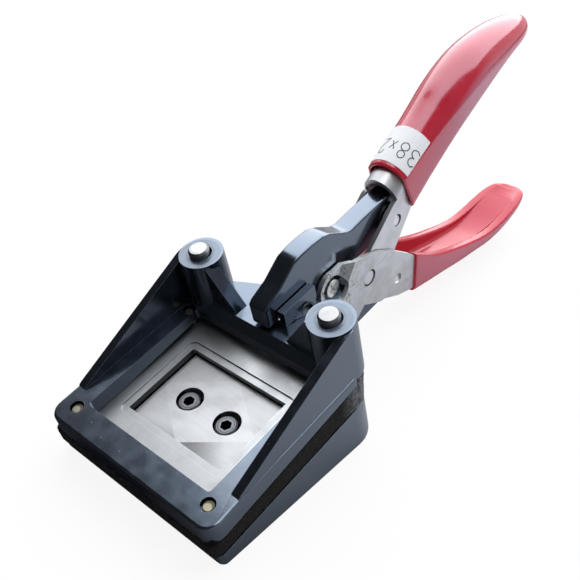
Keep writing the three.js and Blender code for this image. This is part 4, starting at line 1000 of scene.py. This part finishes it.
studio = {"floor": 1.6, "sky": 0.28, "glow": 0.9, "keyAway": 0.5, "keyWide": 1.0, "keyHigh": 0.74, "keyPower": 6.1,
          "keyTurn": 110, "keyRise": 55, "keyRoll": -50, "keyTarget": (0, 0.03, 0.03)}
mirrored = {  # what polished faces see: a bright wall and a paler one to the side, and a floor that fades in
    "lean": (-0.3, 0.95, 0.1), "leanRange": (0.12, 0.7, 0.03, 0.75), "sideRange": (0.3, 0.8, 0, 0.15),
    "floorLean": (0.75, 0.66, 0), "floorNear": (-25, 30, 0, 0.55), "floorFar": (30, 300, 0, 0.1),
}
floorMesh = bpy.data.meshes.new("floor")
floorMesh.from_pydata([(x * studio["floor"], y * studio["floor"], 0)
                       for x, y in ((-1, -1), (1, -1), (1, 1), (-1, 1))], [], [(0, 1, 2, 3)])
floor = objectFrom("floor", floorMesh)


def makeFloorFinish():
    m = Finish("paleFloor")
    grain = m.noise(30, 3)
    matte = m.node("ShaderNodeBsdfDiffuse", {}, {"Color": m.mix(grain, (0.93, 0.93, 0.93), (0.95, 0.95, 0.95))})
    glow = m.node("ShaderNodeEmission", {}, {"Color": (1, 1, 1, 1), "Strength": 1.0})
    seen = m.node("ShaderNodeLightPath", {}, {}, "Is Camera Ray")
    both = m.node("ShaderNodeMixShader", {}, {0: seen * studio["glow"], 1: matte, 2: glow})  # pale to the camera
    away = m.dot(m.plate, mirrored["floorLean"])
    near, far = [m.node("ShaderNodeMapRange", {}, {"Value": away, 1: low, 2: high, 3: start, 4: end})
                 for low, high, start, end in (mirrored["floorNear"], mirrored["floorFar"])]
    tint = m.mix(near + far, (0.03, 0.033, 0.04), (0.9, 0.93, 0.98))
    sheen = m.node("ShaderNodeBsdfDiffuse", {}, {"Color": tint})
    glossy = m.node("ShaderNodeLightPath", {}, {}, "Is Glossy Ray")
    whole = m.node("ShaderNodeMixShader", {}, {0: glossy, 1: both, 2: sheen})
    m.node("ShaderNodeOutputMaterial", {}, {"Surface": whole})
    return m.material


floor.data.materials.append(makeFloorFinish())

world = bpy.data.worlds.new("studio")
bpy.context.scene.world = world
world.use_nodes = True
air = NodeTree(world.node_tree)
air.tree.nodes.clear()
seen, glossy, through = [air.node("ShaderNodeLightPath", {}, {}, ray)
                         for ray in ("Is Camera Ray", "Is Glossy Ray", "Is Transmission Ray")]
toward = air.node("ShaderNodeTexCoord", {}, {}, "Generated")
walls = air.window(air.dot(toward, mirrored["lean"]), *mirrored["leanRange"])
walls = walls + air.window(air.dot(toward, (1, 0, 0)), *mirrored["sideRange"])
clear = air.node("ShaderNodeMath", {"operation": "MAXIMUM"}, {0: seen, 1: through})
level = studio["sky"] * (1 - glossy) * (1 - clear) + glossy * walls + clear
sky = air.node("ShaderNodeBackground", {}, {"Color": (0.97, 0.985, 1.0, 1), "Strength": level})
air.node("ShaderNodeOutputWorld", {}, {"Surface": sky})

keyLight = bpy.data.lights.new("key", "AREA")
keyLight.shape = "RECTANGLE"
keyLight.size = studio["keyWide"]
keyLight.size_y = studio["keyHigh"]
keyLight.energy = studio["keyPower"]
key = bpy.data.objects.new("key", keyLight)
bpy.context.scene.collection.objects.link(key)
turn, rise = math.radians(studio["keyTurn"]), math.radians(studio["keyRise"])
away = Vector((math.cos(rise) * math.cos(turn), math.cos(rise) * math.sin(turn), math.sin(rise)))
key.location = away * studio["keyAway"] + Vector(studio["keyTarget"])
key.rotation_euler = (away.to_track_quat("Z", "Y").to_matrix() @ Matrix.Rotation(
    math.radians(studio["keyRoll"]), 3, "Z")).to_euler()
bpy.context.scene.view_settings.view_transform = "Standard"

print("scene ready")
